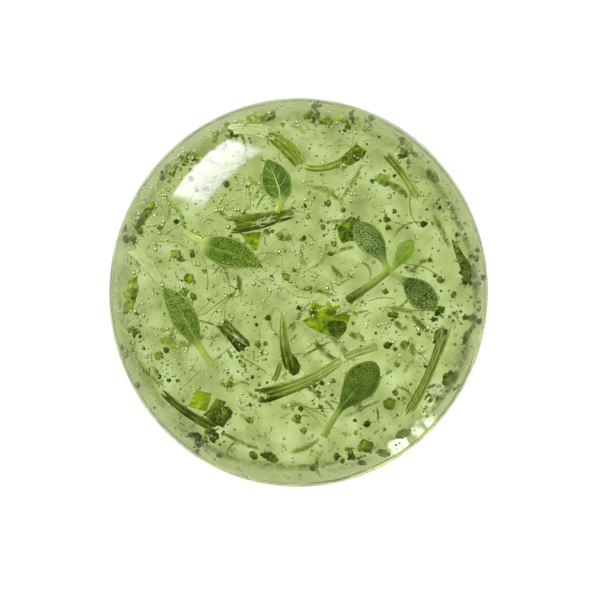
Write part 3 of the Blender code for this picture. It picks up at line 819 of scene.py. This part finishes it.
def strand_parts(name, line, widths, lift, strands, splay, shades):
    """The fibres of one strip, side by side, each with its own ends, height and tone."""
    picker = Random(name)
    parts, tones = [], []
    breadths = np.linspace(0, 1, len(widths))
    for number in range(strands):
        side = (2 * number + 1) / strands - 1
        notch = 0.1 * (1 - abs(side))
        start, stop = picker.uniform(0.0, 0.07) + notch, 1 - picker.uniform(0.0, 0.09)
        bulk = picker.uniform(0.85, 1.25)
        rise = picker.uniform(-0.08, 0.08) * MM
        sway = picker.uniform(-0.06, 0.06)
        phase = picker.uniform(0, 2 * pi)

        def place(turn, along):
            share = start + (stop - start) * along
            half = np.interp(share, breadths, widths) * MM / 2
            fan = 1 + splay[0] * (1 - share) ** 4 + splay[1] * share**4
            taper = np.minimum(1, 0.25 + 9 * np.minimum(along, 1 - along))
            breadth = half / strands * STRAND_OVERLAP * bulk * taper
            offset = half * side * 0.9 * fan + half * sway * np.sin(3 * share * pi + phase)
            thickness = STRIP_THICKNESS / 2 * (0.55 + 0.3 * (1 - side**2)) * taper
            height = lift * MM + rise + thickness * np.sin(turn)
            return seat_beside(line, share, offset + breadth * np.cos(turn), height)

        strand = tube_part(sides=10, rows=56, place=place)
        parts.append(strand)
        tones.append(shades[number % 2] + picker.uniform(-0.12, 0.12) + shades[2] * strand[2][:, 1])
    return parts, tones


def tone_of(tree):
    """The tone of the part that a point belongs to."""
    return add(tree, "ShaderNodeAttribute", output="Fac", attribute_name="tone")


def fibre_material(name, dark, green, pale):
    """Cut fibres: each strand has its tone and fine lengthwise streaks. Dark lines along them are
    painted shade, as of the hollows between fibres.
    """
    material, tree, shader = new_material(name, roughness=0.35)
    tone = tone_of(tree)
    share = times_plus(tree, grain(tree, 1.8 * MM), 0.8, maths(tree, "SUBTRACT", tone, 0.4))
    skin = mixed(tree, smooth_step(tree, share, -0.1, 0.55), dark, green)
    skin = mixed(tree, smooth_step(tree, share, 0.5, 1.1), skin, pale)
    uv = add(tree, "ShaderNodeUVMap")
    stretched = add(tree, "ShaderNodeMapping", {"Vector": uv, "Scale": (6, 3.5, 1)})
    by_strand = {0: add(tree, "ShaderNodeCombineXYZ", {"Z": tone}), 1: (0, 0, 40), 2: stretched}
    placed = add(tree, "ShaderNodeVectorMath", by_strand, operation="MULTIPLY_ADD")
    lines = add(tree, "ShaderNodeTexNoise", {"Vector": placed, "Scale": 1.6, "Detail": 3})
    streaks = times(tree, smooth_step(tree, lines, 0.54, 0.66), smooth_step(tree, share, -0.2, 0.6), 0.8)
    skin = mixed(tree, streaks, skin, pale)
    # painted shade: dark lines along the strands stand in for the shade in the hollows between fibres
    paint(tree, shader, mixed(tree, times(tree, smooth_step(tree, lines, 0.44, 0.36), 0.6), skin, dark))
    return material


fibre_skins = {
    "olive_stem": fibre_material("olive_fibre", (0.08, 0.12, 0.01), (0.38, 0.46, 0.05), (0.94, 1.0, 0.52)),
    "pale_stem": fibre_material("pale_fibre", (0.34, 0.42, 0.06), (0.95, 1.0, 0.58), (1.0, 1.0, 0.9)),
}
for node, (finish, line, widths, lift, strands, splay, shades) in STRIPS.items():
    parts, tones = strand_parts(node, line, widths, lift, strands, splay, shades)
    put_in(join_parts("fibrous_" + node, parts, fibre_skins[finish], tones), finish, node)


# Chopped leaf: thin, crumpled, ragged bits cut from larger leaves, from bright yellow green to dark
# green. The large bits keep the outlines that they were cut to, and the others are uneven ovals.
PIECE_THICKNESS = 0.3 * MM
PIECES = {
    # finish, lift, tone, and its outline, or for an oval the middle, length, width, angle and corners
    "fold_under_strip": ("bright_leaf", -0.9, 0.45, [(-7.4, 7.6), (-4.9, 7.9), (-5.0, 6.6), (-5.4, 5.5),
        (-6.0, 5.5), (-6.7, 6.4)]),
    "fold_middle": ("olive_stem", -0.6, 0.0, [(-1.1, -7.8), (-0.3, -8.4), (0.3, -9.6), (0.1, -10.5),
        (-0.6, -10.9), (-1.2, -10.5), (-1.5, -9.3)]),
    "fold_right": ("olive_stem", -0.8, 0.1, ((18.5, -5.6), 2.8, 1.9, 60, 12)),
    "piece_square": ("bright_leaf", 0.0, 1.0, [(-13.2, -12.6), (-11.3, -13.2), (-11.6, -14.4),
        (-12.0, -15.5), (-14.4, -14.8)]),
    "piece_toothed": ("bright_leaf", -0.8, -0.1, [(-10.8, -13.8), (-9.4, -14.2), (-9.7, -14.8),
        (-9.0, -14.9), (-8.5, -15.6), (-9.0, -16.5), (-9.8, -17.6), (-10.8, -17.2), (-12.4, -15.9),
        (-11.4, -15.1)]),
    "piece_crumpled": ("bright_leaf", -0.5, 0.6, [(2.0, -1.2), (2.7, -1.6), (3.5, -1.8), (3.8, -1.1),
        (4.5, -1.8), (5.3, -1.7), (5.9, -2.8), (6.8, -3.0), (6.4, -4.0), (5.9, -5.5), (5.0, -5.9),
        (4.2, -5.5), (3.2, -5.5), (2.4, -5.0), (1.2, -4.5), (0.5, -3.7), (1.5, -3.2), (1.3, -2.2)]),
    "piece_folded": ("dark_leaf", 0.5, -0.05, [(3.8, -3.9), (4.5, -3.6), (5.7, -3.7), (6.3, -4.2),
        (6.2, -5.0), (5.5, -5.8), (5.0, -6.1), (4.2, -5.5), (3.7, -4.8)]),
    "piece_behind_sprig": ("bright_leaf", -0.8, 0.05, [(5.0, 8.3), (5.9, 9.2), (6.8, 9.9), (7.5, 9.6),
        (8.1, 9.3), (7.9, 8.4), (7.6, 7.3), (7.2, 6.6), (6.6, 6.7), (5.8, 6.3), (5.2, 7.1)]),
    "piece_bright_top": ("bright_leaf", 0.0, 0.2, [(4.9, 17.0), (5.7, 17.7), (6.8, 18.7), (7.5, 19.3),
        (8.9, 18.4), (8.4, 17.4), (7.5, 16.9), (6.7, 16.4), (5.9, 16.7)]),
    "piece_left": ("bright_leaf", 0.0, 0.1, [(-18.8, 11.9), (-18.6, 11.2), (-19.3, 10.1), (-20.1, 8.9),
        (-21.1, 8.0), (-21.4, 8.3), (-20.9, 9.5), (-19.8, 11.1)]),
    "piece_right": ("olive_stem", 0.0, -0.1, [(19.8, 7.1), (20.6, 6.4), (21.3, 5.1), (22.2, 4.0),
        (22.7, 2.7), (22.3, 1.1), (21.5, 1.5), (21.0, 3.2), (20.4, 4.9)]),
    "piece_far_left": ("olive_stem", 0.0, 0.5, ((-21.8, -0.6), 6.3, 1.8, 78, 14)),
    "piece_top_right": ("olive_stem", 0.0, 0.7, ((11.1, 14.6), 2.5, 1.7, -20, 10)),
    "piece_top_left_rim": ("olive_stem", 0.0, 0.65, ((-5.8, 22.6), 4.6, 1.4, 14, 12)),
    "piece_top_rim": ("olive_stem", 0.0, 0.5, ((5.7, 22.6), 2.8, 1.2, -25, 10)),
    "piece_upper_rim": ("olive_stem", 0.0, 0.5, ((14.0, 19.2), 3.0, 1.4, -50, 10)),
    "piece_upper_right_rim": ("olive_stem", 0.0, 0.5, ((17.3, 15.2), 2.6, 1.4, -45, 10)),
    "piece_lower_rim": ("dark_leaf", 0.0, 0.95, ((13.6, -18.4), 2.3, 1.4, 20, 10)),
    "piece_low_left": ("dark_leaf", 0.0, 0.5, ((8.8, -20.0), 2.5, 1.8, 10, 10)),
    "piece_low_right": ("dark_leaf", 0.5, 0.5, ((10.9, -20.9), 2.2, 1.2, -10, 10)),
    "seed_large": ("dark_leaf", 0.0, 0.25, ((-3.7, -21.4), 2.6, 1.4, -25, 10)),
    "seed_small": ("dark_leaf", 0.0, 0.25, ((-5.9, -21.2), 1.6, 1.1, -25, 8)),
    "flake_lower": ("dark_leaf", 0.0, 0.8, ((11.8, -14.5), 1.9, 1.8, 0, 8)),
    "flake_right": ("dark_leaf", 0.0, 0.5, ((13.8, -6.8), 1.3, 1.3, 0, 8)),
    "flake_strip_end": ("dark_leaf", 0.3, 0.5, ((11.6, -6.9), 1.2, 1.1, 0, 8)),
    "flake_middle": ("dark_leaf", 0.0, 0.5, ((12.3, -2.9), 1.6, 1.2, -20, 8)),
    "flake_left": ("bright_leaf", 0.0, -0.1, ((-14.2, 1.8), 1.6, 1.5, 0, 8)),
    "flake_right_rim": ("dark_leaf", 0.0, 0.5, ((19.6, -11.1), 2.6, 1.7, 40, 10)),
    "flake_far_right": ("dark_leaf", 0.0, 0.5, ((21.9, -5.7), 2.8, 1.0, 65, 8)),
}
OUTLINE_STEP = 0.14 * MM
PIECE_RINGS = 9
CRUMPLE = 0.45  # mm, of the height of the folds
LARGE_FOLD = 1.3 * MM
SMALL_FOLD = 0.5 * MM
VEIN_NET = 0.85 * MM
# painted light and shade on the crumpling: its ridges are painted paler and its hollows darker
FOLD_PAINTED_SHADE = 0.8  # how much paler the ridges of the crumpling are than its hollows
FLAT_PIECES = ("piece_square", "piece_toothed")
FLAT_PAINTED_SHADE = 0.3


def oval_outline(shift, middle, length, width, angle, corners):
    """An uneven oval, as seen from above, in metres. The more corners, the more ragged it is."""
    places = []
    lean = radians(angle)
    count = 4 * corners
    for i in range(count):
        turn = 2 * pi * i / count
        slow = noise.noise(Vector((cos(turn) * 1.1 + shift, sin(turn) * 1.1, 0)))
        quick = noise.noise(Vector((cos(turn) * corners / 3 + shift, sin(turn) * corners / 3, 5)))
        depth = 0.88 + 0.3 * slow + 0.022 * corners * quick
        x, y = length / 2 * depth * cos(turn), width / 2 * depth * sin(turn)
        places.append((middle[0] + x * cos(lean) - y * sin(lean), middle[1] + x * sin(lean) + y * cos(lean)))
    return np.array(places) * MM


def ragged(picker, outline):
    """The outline with points at even steps, each moved a little in or out."""
    places = []
    for first, second in zip(outline, np.roll(outline, -1, 0)):
        steps = max(2, round(np.hypot(*(second - first)) / OUTLINE_STEP))
        for i in range(steps):
            share = i / steps
            places.append(first + (second - first) * (share + 0.12 * sin(2 * pi * share) / 2))
    places = np.array(places)
    middle = places.mean(0)
    wear = np.array([picker.uniform(-0.03, 0.02) for _ in places])
    return places + (places - middle) * wear[:, None]


def bit_part(picker, outline, lift, tilt):
    """A thin bit of leaf over an outline, crumpled and a little tilted, from rings round its middle."""
    rim = ragged(picker, outline)
    middle = rim.mean(0)
    shift = picker.uniform(0, 100)
    lean = picker.uniform(0, 2 * pi)

    def surface(up):
        places = [middle]
        for ring in range(1, PIECE_RINGS + 1):
            places += list(middle + (rim - middle) * ring / PIECE_RINGS)
        places = np.array(places)
        shares = np.array([0] + [ring / PIECE_RINGS for ring in range(1, PIECE_RINGS + 1) for _ in rim])
        folds = np.array([noise.noise(Vector((x / LARGE_FOLD + shift, y / LARGE_FOLD, 0)))
                          + 0.45 * noise.noise(Vector((x / SMALL_FOLD, y / SMALL_FOLD + shift, 7)))
                          for x, y in places])
        away = (places - middle) @ np.array([cos(lean), sin(lean)])
        height = lift * MM + folds * CRUMPLE * MM + away * tilt
        height += up * PIECE_THICKNESS / 2 * (1 - 0.75 * shares**3)
        return seat(places[:, 0], places[:, 1], height), places, folds

    top, places, folds = surface(1)
    bottom, *_ = surface(-1)
    count = len(rim)
    faces = []
    for i in range(count):
        after = (i + 1) % count
        faces.append([0, 1 + i, 1 + after])
        faces.append([len(top), len(top) + 1 + after, len(top) + 1 + i])
        for ring in range(PIECE_RINGS - 1):
            near, far = 1 + ring * count, 1 + (ring + 1) * count
            quad = [near + i, far + i, far + after, near + after]
            faces.append(quad)
            faces.append([len(top) + corner for corner in quad[::-1]])
        outer = 1 + (PIECE_RINGS - 1) * count
        faces.append([outer + i, len(top) + outer + i, len(top) + outer + after, outer + after])
    uvs = (places - middle) / (6 * MM) + 0.5
    return (np.concatenate([top, bottom]), faces, np.concatenate([uvs, uvs])), np.concatenate([folds, folds])


def bit_material(name, deep, bright, vein):
    """Chopped leaf: a net of pale veins, and bright and dark patches, more of either by its tone, which
    also carries painted light and shade: paler on the ridges of the crumpling, darker in its hollows.
    """
    material, tree, shader = new_material(name, roughness=0.32, glow_through=0.1)
    share = times_plus(tree, tone_of(tree), 0.5, grain(tree, 1.5 * MM))
    skin = mixed(tree, smooth_step(tree, share, 0.5, 0.98), deep, bright)
    veins = smooth_step(tree, cell_distance(tree, VEIN_NET, "DISTANCE_TO_EDGE"), 0.07, 0.01)
    skin = mixed(tree, times(tree, veins, 0.3), skin, vein)
    cells = smooth_step(tree, grain(tree, 0.2 * MM, detail=1.0), 0.52, 0.7)
    skin = mixed(tree, times(tree, cells, 0.25), skin, vein)
    paint(tree, shader, skin, maths(tree, "SUBTRACT", cells, veins), 0.05 * MM)
    return material


bit_skins = {
    "bright_leaf": bit_material("bright_chopped_leaf", (0.11, 0.18, 0.01), (0.66, 0.86, 0.02),
                                (0.92, 1.0, 0.3)),
    "dark_leaf": bit_material("dark_chopped_leaf", (0.09, 0.15, 0.0), (0.52, 0.67, 0.12), (0.75, 0.9, 0.24)),
    "olive_stem": bit_material("olive_chopped_leaf", (0.14, 0.2, 0.0), (0.62, 0.74, 0.2), (0.9, 1.0, 0.4)),
}
for node, (finish, lift, tone, shape) in PIECES.items():
    picker = Random(node)
    shift = picker.uniform(0, 100)
    outline = np.array(shape) * MM if isinstance(shape, list) else oval_outline(shift, *shape)
    bit, folds = bit_part(picker, outline, lift, picker.uniform(0.05, 0.2))
    # painted light and shade: the tone follows the height of the folds, paler on ridges, darker in hollows
    tones = tone + (FLAT_PAINTED_SHADE if node in FLAT_PIECES else FOLD_PAINTED_SHADE) * folds
    put_in(join_parts("chopped_" + node, [bit], bit_skins[finish], [tones]), finish, node)


# Flecks: crumbs left by the chopping, from dust to a millimetre, loose all over the gel and in clumps.
# Most are dark green and flat. The largest have their own places. Clumps of large ones inside the rim
# are a painted reflection: they stand in for the mirrored images of pieces that the rim shows.
LOOSE_FLECKS = 520
FLECK_CLUMPS = 105
FLECK_SIZE = 0.18 * MM
FLECK_SPREAD = 0.55 * MM
OUTERMOST_FLECK = 0.96
RIM_CLUMPS = 34
RIM_CLUMP_REACH = (0.86, 0.98)
RIM_CLUMP_SPREAD = 0.6 * MM
LARGE_FLECKS = [  # x, y and size in mm
    (-4.1, 7.8, 0.8), (-3.4, 7.9, 0.6), (-2.3, 7.3, 0.9), (-1.4, 7.1, 0.8), (0.7, 7.1, 0.6),
    (-15.9, 9.2, 0.7), (-9.4, 14.1, 0.9), (-18.0, 8.4, 0.7), (-15.9, 5.0, 1.2), (-15.3, 4.4, 0.8),
    (-1.6, 2.0, 1.0), (-5.2, -6.8, 0.8), (-4.3, -6.7, 0.6), (-0.2, -16.5, 1.1), (-18.2, -8.3, 1.1),
    (-17.2, -7.5, 0.8), (-4.0, -3.3, 0.8), (-8.9, -12.0, 0.8), (-6.3, -16.7, 0.8), (-14.9, 0.0, 1.2),
    (-13.7, -0.6, 0.9), (11.4, 9.5, 0.7), (16.3, 8.9, 0.8), (4.2, 5.0, 0.7), (1.2, 9.8, 0.7),
    (18.5, 1.6, 0.9), (17.1, 4.2, 0.6), (18.5, -2.2, 1.0), (20.2, -0.3, 0.8), (3.8, 11.6, 0.8),
    (12.8, -9.4, 0.7), (8.9, -17.1, 0.8), (4.5, -11.5, 0.6), (7.5, -18.3, 0.6), (0.7, -18.0, 0.8),
]


def fleck_places(picker):
    loose = spread_places(picker, LOOSE_FLECKS, outermost=OUTERMOST_FLECK)
    places = [(x, y, picker.uniform(-4, 0) * MM) for x, y in loose]
    clumps = spread_places(picker, FLECK_CLUMPS, outermost=0.93)
    places += clustered(picker, clumps, lifts=(-4, -0.3), counts=(3, 10), spread=FLECK_SPREAD)
    return [place for place in places if rim_share(*place[:2]) < OUTERMOST_FLECK]


def toned_material(name, dark, light, roughness, glow_through):
    """One colour for each part, between two, by its tone."""
    material, tree, shader = new_material(name, roughness, glow_through)
    paint(tree, shader, mixed(tree, tone_of(tree), dark, light))
    return material


fleck_picker = Random(12)
flecks_at = fleck_places(fleck_picker)
fleck_sizes = [FLECK_SIZE * min(fleck_picker.lognormvariate(0, 0.6), 4) for _ in flecks_at]
for x, y, size in LARGE_FLECKS:
    flecks_at.append((x * MM, y * MM, fleck_picker.uniform(-1.5, -0.5) * MM))
    fleck_sizes.append(size * MM)
# painted reflection: clumps of large flecks inside the rim stand in for the mirrored images of pieces
for _ in range(RIM_CLUMPS):
    turn, reach = fleck_picker.uniform(0, 2 * pi), fleck_picker.uniform(*RIM_CLUMP_REACH) * DOME_RADIUS
    for _ in range(fleck_picker.randint(3, 8)):
        x = fleck_picker.gauss(reach * cos(turn), RIM_CLUMP_SPREAD)
        y = fleck_picker.gauss(reach * sin(turn), RIM_CLUMP_SPREAD)
        if rim_share(x, y) < RIM_CLUMP_REACH[1]:
            flecks_at.append((x, y, fleck_picker.uniform(-1.5, 0) * MM))
            fleck_sizes.append(fleck_picker.uniform(0.35, 0.95) * MM)
flecks = points_object("herb_flecks", flecks_at, fleck_sizes)
fleck_skin = toned_material("fleck_skin", (0.10, 0.17, 0.02), (0.55, 0.72, 0.16),
                            roughness=0.6, glow_through=0.4)
grow(flecks, grain_tree("fleck_grains", 2), Flatness=0.45, Unevenness=0.45, Seed=7, Material=fleck_skin)
put_in(flecks, "dark_leaf")


# Threads and hairs: single plant fibres, thinner than half a millimetre. Long pale ones lie loose or
# in thin bundles, and short dark curly ones are scattered, thickest under the sprig.
THREAD_BUNDLES = 6
IN_A_BUNDLE = 4
LOOSE_THREADS = 30
CURLY_HAIRS = 90
THREAD_WIDTH = 0.12 * MM
HAIR_WIDTH = 0.1 * MM
OUTERMOST_THREAD = 0.93


def wander(picker, start, heading, length, curl, steps):
    """Seen places along a line that wanders off from a place."""
    places, bend = [start], 0.0
    for _ in range(steps):
        bend = 0.75 * bend + picker.gauss(0, curl)
        heading += bend
        x, y = places[-1]
        places.append((x + length / steps * cos(heading), y + length / steps * sin(heading)))
    return np.array(places)


def thread_part(places, width, lift, climb=0.0):
    """A thin closed tube along a line of places, pointed at both ends."""
    shares = np.linspace(0, 1, len(places))
    ahead = np.gradient(places, axis=0)
    ahead /= np.linalg.norm(ahead, axis=1, keepdims=True)

    def place(turn, along):
        x, y, ahead_x, ahead_y = (np.interp(along, shares, axis) for axis in (*places.T, *ahead.T))
        radius = width / 2 * np.minimum(1, 0.3 + 6 * np.minimum(along, 1 - along))
        aside = radius * np.cos(turn)
        return seat(x - ahead_y * aside, y + ahead_x * aside, lift + climb * along + radius * np.sin(turn))

    return tube_part(sides=4, rows=len(places) - 1, place=place)


thread_picker = Random(21)
threads, thread_tones = [], []
groups = THREAD_BUNDLES + LOOSE_THREADS
for x, y in spread_places(thread_picker, groups, (8 * MM, -3 * MM), pull=0.6, outermost=0.86):
    bundled = len(threads) < THREAD_BUNDLES * IN_A_BUNDLE
    heading = thread_picker.uniform(0, 2 * pi)
    length = thread_picker.uniform(1.5, 6) * MM
    lift = thread_picker.uniform(-3.8, -1) * MM
    for _ in range(IN_A_BUNDLE if bundled else 1):
        start = (thread_picker.gauss(x, 0.18 * MM), thread_picker.gauss(y, 0.18 * MM))
        toward = heading + thread_picker.gauss(0, 0.05)
        places = wander(thread_picker, start, toward, length, curl=0.05, steps=16)
        if rim_share(*places[-1]) > OUTERMOST_THREAD:
            continue
        width = THREAD_WIDTH * thread_picker.uniform(0.7, 1.5)
        threads.append(thread_part(places, width, lift, climb=thread_picker.uniform(-1, 1) * MM))
        thread_tones.append(thread_picker.uniform(0.1, 0.9))
thread_skin = toned_material("thread_skin", (0.42, 0.56, 0.08), (0.92, 1.0, 0.5),
                             roughness=0.5, glow_through=0.8)
put_in(join_parts("fine_threads", threads, thread_skin, thread_tones), "pale_stem")

hairs = []
for x, y in spread_places(thread_picker, CURLY_HAIRS, (5 * MM, -8 * MM), pull=0.95, outermost=0.9):
    heading = thread_picker.uniform(0, 2 * pi)
    length = thread_picker.uniform(0.5, 1.8) * MM
    places = wander(thread_picker, (x, y), heading, length, curl=0.28, steps=12)
    width = HAIR_WIDTH * thread_picker.uniform(0.7, 1.2)
    hairs.append(thread_part(places, width, thread_picker.uniform(-3, -0.2) * MM))
hair_skin = toned_material("hair_skin", (0.07, 0.10, 0.02), (0.30, 0.38, 0.08),
                           roughness=0.6, glow_through=0.0)
put_in(join_parts("curly_hairs", hairs, hair_skin, [thread_picker.random() for _ in hairs]), "dark_leaf")


# Pulp: shreds of bruised stem and leaf, so thin that light comes through. They hang deep in the gel,
# fade out at their edges and ends, and make a loose web in its right half and a ring inside its rim.
SHRED_THICKNESS = 0.08 * MM
SHREDS = [
    # line, width, lift, strength
    ([(11.2, 14.2), (12.8, 13.6), (14.3, 12.2)], 1.3, -2.0, 0.8),
    ([(17.4, 10.4), (18.6, 8.0), (19.7, 5.6)], 1.1, -1.5, 0.7),
    ([(12.4, 7.0), (13.6, 8.6), (16.4, 9.0)], 0.5, -2.0, 0.7),
    ([(7.6, 3.9), (8.8, 3.6), (9.4, 1.8)], 0.5, -2.5, 0.6),
    ([(12.7, -2.6), (13.6, -1.6), (14.5, -0.7)], 0.6, -2.5, 0.8),
    ([(12.4, -3.6), (13.6, -4.6), (14.4, -4.8)], 1.2, -2.5, 0.7),
    ([(14.2, -2.7), (15.8, -4.2), (17.4, -6.4)], 1.3, -2.5, 0.7),
    ([(13.9, -7.2), (15.6, -8.0), (17.0, -7.2)], 0.8, -2.8, 0.5),
    ([(6.4, -5.2), (7.6, -5.8), (8.8, -6.6)], 1.2, -2.0, 0.7),
    ([(6.8, -3.2), (8.0, -2.6), (9.4, -2.4)], 0.4, -1.0, 0.8),
    ([(0.2, -8.6), (2.2, -7.4), (4.4, -6.3)], 0.5, -2.0, 0.8),
    ([(5.6, -6.6), (6.0, -7.4), (6.6, -7.9)], 0.6, -2.0, 0.6),
    ([(10.3, -11.2), (11.4, -10.6), (12.4, -10.0)], 0.7, -2.5, 0.5),
    ([(3.2, -14.0), (4.0, -14.6), (4.7, -15.6)], 0.6, -2.5, 0.5),
    ([(-8.0, 2.6), (-7.6, 0.8), (-7.4, -1.0)], 1.0, -1.5, 0.7),
    ([(-13.3, -3.6), (-12.0, -3.9), (-10.6, -4.4)], 0.4, -1.0, 0.8),
    ([(-18.2, -5.8), (-16.8, -6.6), (-15.4, -7.6)], 2.0, -2.0, 0.6),
    ([(-9.3, -7.4), (-8.9, -8.0), (-8.5, -8.8)], 0.7, -2.0, 0.6),
    ([(-10.4, -11.6), (-9.4, -12.2), (-8.6, -12.6)], 0.8, -2.0, 0.7),
    ([(-7.8, -15.8), (-6.8, -16.4), (-5.8, -17.2)], 0.9, -2.5, 0.6),
    ([(-10.4, -18.0), (-7.6, -19.4), (-4.6, -20.6)], 0.8, -0.5, 0.7),
    ([(-21.8, -7.0), (-19.6, -10.4), (-17.0, -12.6)], 0.6, 0.0, 0.9),
    ([(-6.4, 7.4), (-7.2, 5.2), (-6.8, 3.0)], 0.9, -2.5, 0.6),
    ([(-3.2, 13.6), (-4.6, 12.4), (-5.6, 10.6)], 0.6, -2.0, 0.6),
    ([(-17.6, 12.4), (-15.4, 10.4), (-14.8, 7.8)], 0.7, -2.0, 0.5),
    ([(2.2, 13.2), (4.4, 12.6), (6.0, 10.6)], 0.5, -2.5, 0.5),
]
LOOSE_SHREDS = 60
RIM_SHREDS = 30


def shred_part(line, width, lift):
    """A thin, flat, closed shred along a line."""

    def place(across, along, up):
        half = width * MM / 2 * (0.5 + 0.5 * np.sin(pi * along))
        return seat_beside(line, along, across * half, lift * MM + up * SHRED_THICKNESS / 2)

    return sheet_part(columns=4, rows=18, place=place)


def pulp_material(name, dark, light):
    """Bruised pulp: see-through in uneven patches, and clear at the edges and ends."""
    material, tree, shader = new_material(name, roughness=0.6)
    uv = parted(tree, add(tree, "ShaderNodeUVMap"))
    aside, endways = [maths(tree, "ABSOLUTE", times_plus(tree, uv[side], 2.0, -1.0)) for side in "XY"]
    cover = times(tree, smooth_step(tree, aside, 1.0, 0.1), smooth_step(tree, endways, 1.0, 0.5))
    patches = smooth_step(tree, grain(tree, 0.9 * MM, detail=3.0), 0.28, 0.58)
    skin = mixed(tree, smooth_step(tree, grain(tree, 1.4 * MM, seed=5.0), 0.35, 0.65), dark, light)
    paint(tree, shader, skin, Alpha=times(tree, cover, patches, tone_of(tree)))
    return material


pulp_picker = Random(33)
shreds = [shred_part(line, width, lift) for line, width, lift, _ in SHREDS]
shred_tones = [1.2 * strength for *_, strength in SHREDS]
for x, y in spread_places(pulp_picker, LOOSE_SHREDS, outermost=0.85):
    heading = pulp_picker.uniform(0, 2 * pi)
    places = wander(pulp_picker, (x, y), heading, pulp_picker.uniform(2, 7) * MM, curl=0.25, steps=4)
    shreds.append(shred_part(places[::2] / MM, pulp_picker.uniform(0.3, 1.2), pulp_picker.uniform(-3.5, -2)))
    shred_tones.append(pulp_picker.uniform(0.4, 0.85))
for i in range(RIM_SHREDS):
    turn = 2 * pi * (i + pulp_picker.uniform(-0.2, 0.2)) / RIM_SHREDS
    reach = pulp_picker.uniform(22.6, 23.6)
    span = pulp_picker.uniform(0.12, 0.3)
    line = [(reach * cos(turn + span * step), reach * sin(turn + span * step)) for step in (-1, 0, 1)]
    shreds.append(shred_part(line, pulp_picker.uniform(0.6, 1.8), pulp_picker.uniform(-1.5, 0)))
    shred_tones.append(pulp_picker.uniform(0.15, 0.45))
pulp_skin = pulp_material("pulp_skin", (0.30, 0.42, 0.03), (0.62, 0.74, 0.10))
put_in(join_parts("soft_pulp", shreds, pulp_skin, shred_tones), "olive_stem")


# Air threads: thin squiggles of air caught on the wet strips and the crumpled piece. Like the
# bubbles, they are hollows in the gel.
AIR_THREADS = (
    # middle, spread along and across in mm, heading, count, lift
    ((-4.6, 9.2), (3.2, 0.9), 0.36, 24, 0.85),
    ((-8.4, -5.6), (0.7, 0.6), -0.8, 9, 0.5),
    ((5.3, -2.5), (0.7, 0.5), 0.4, 7, 0.4),
    ((18.2, -7.0), (0.9, 0.4), 1.2, 6, 0.8),
)
AIR_WIDTH = 0.13 * MM
air_picker = Random(9)
air = []
for middle, spread, heading, count, lift in AIR_THREADS:
    for _ in range(count):
        far, wide = air_picker.gauss(0, spread[0] / 2), air_picker.gauss(0, spread[1] / 2)
        x = middle[0] + far * cos(heading) - wide * sin(heading)
        y = middle[1] + far * sin(heading) + wide * cos(heading)
        toward = heading + air_picker.gauss(0, 0.12)
        length = air_picker.uniform(0.5, 1.9) * MM
        places = wander(air_picker, (x * MM, y * MM), toward, length, curl=0.06, steps=10)
        air.append(thread_part(places, AIR_WIDTH * air_picker.uniform(0.7, 1.3), lift * MM))
air_film = air_material("air_film", roughness=0.5, shine=1.0)
hollow_out(gel, join_parts("air_threads", air, air_film), air_film)
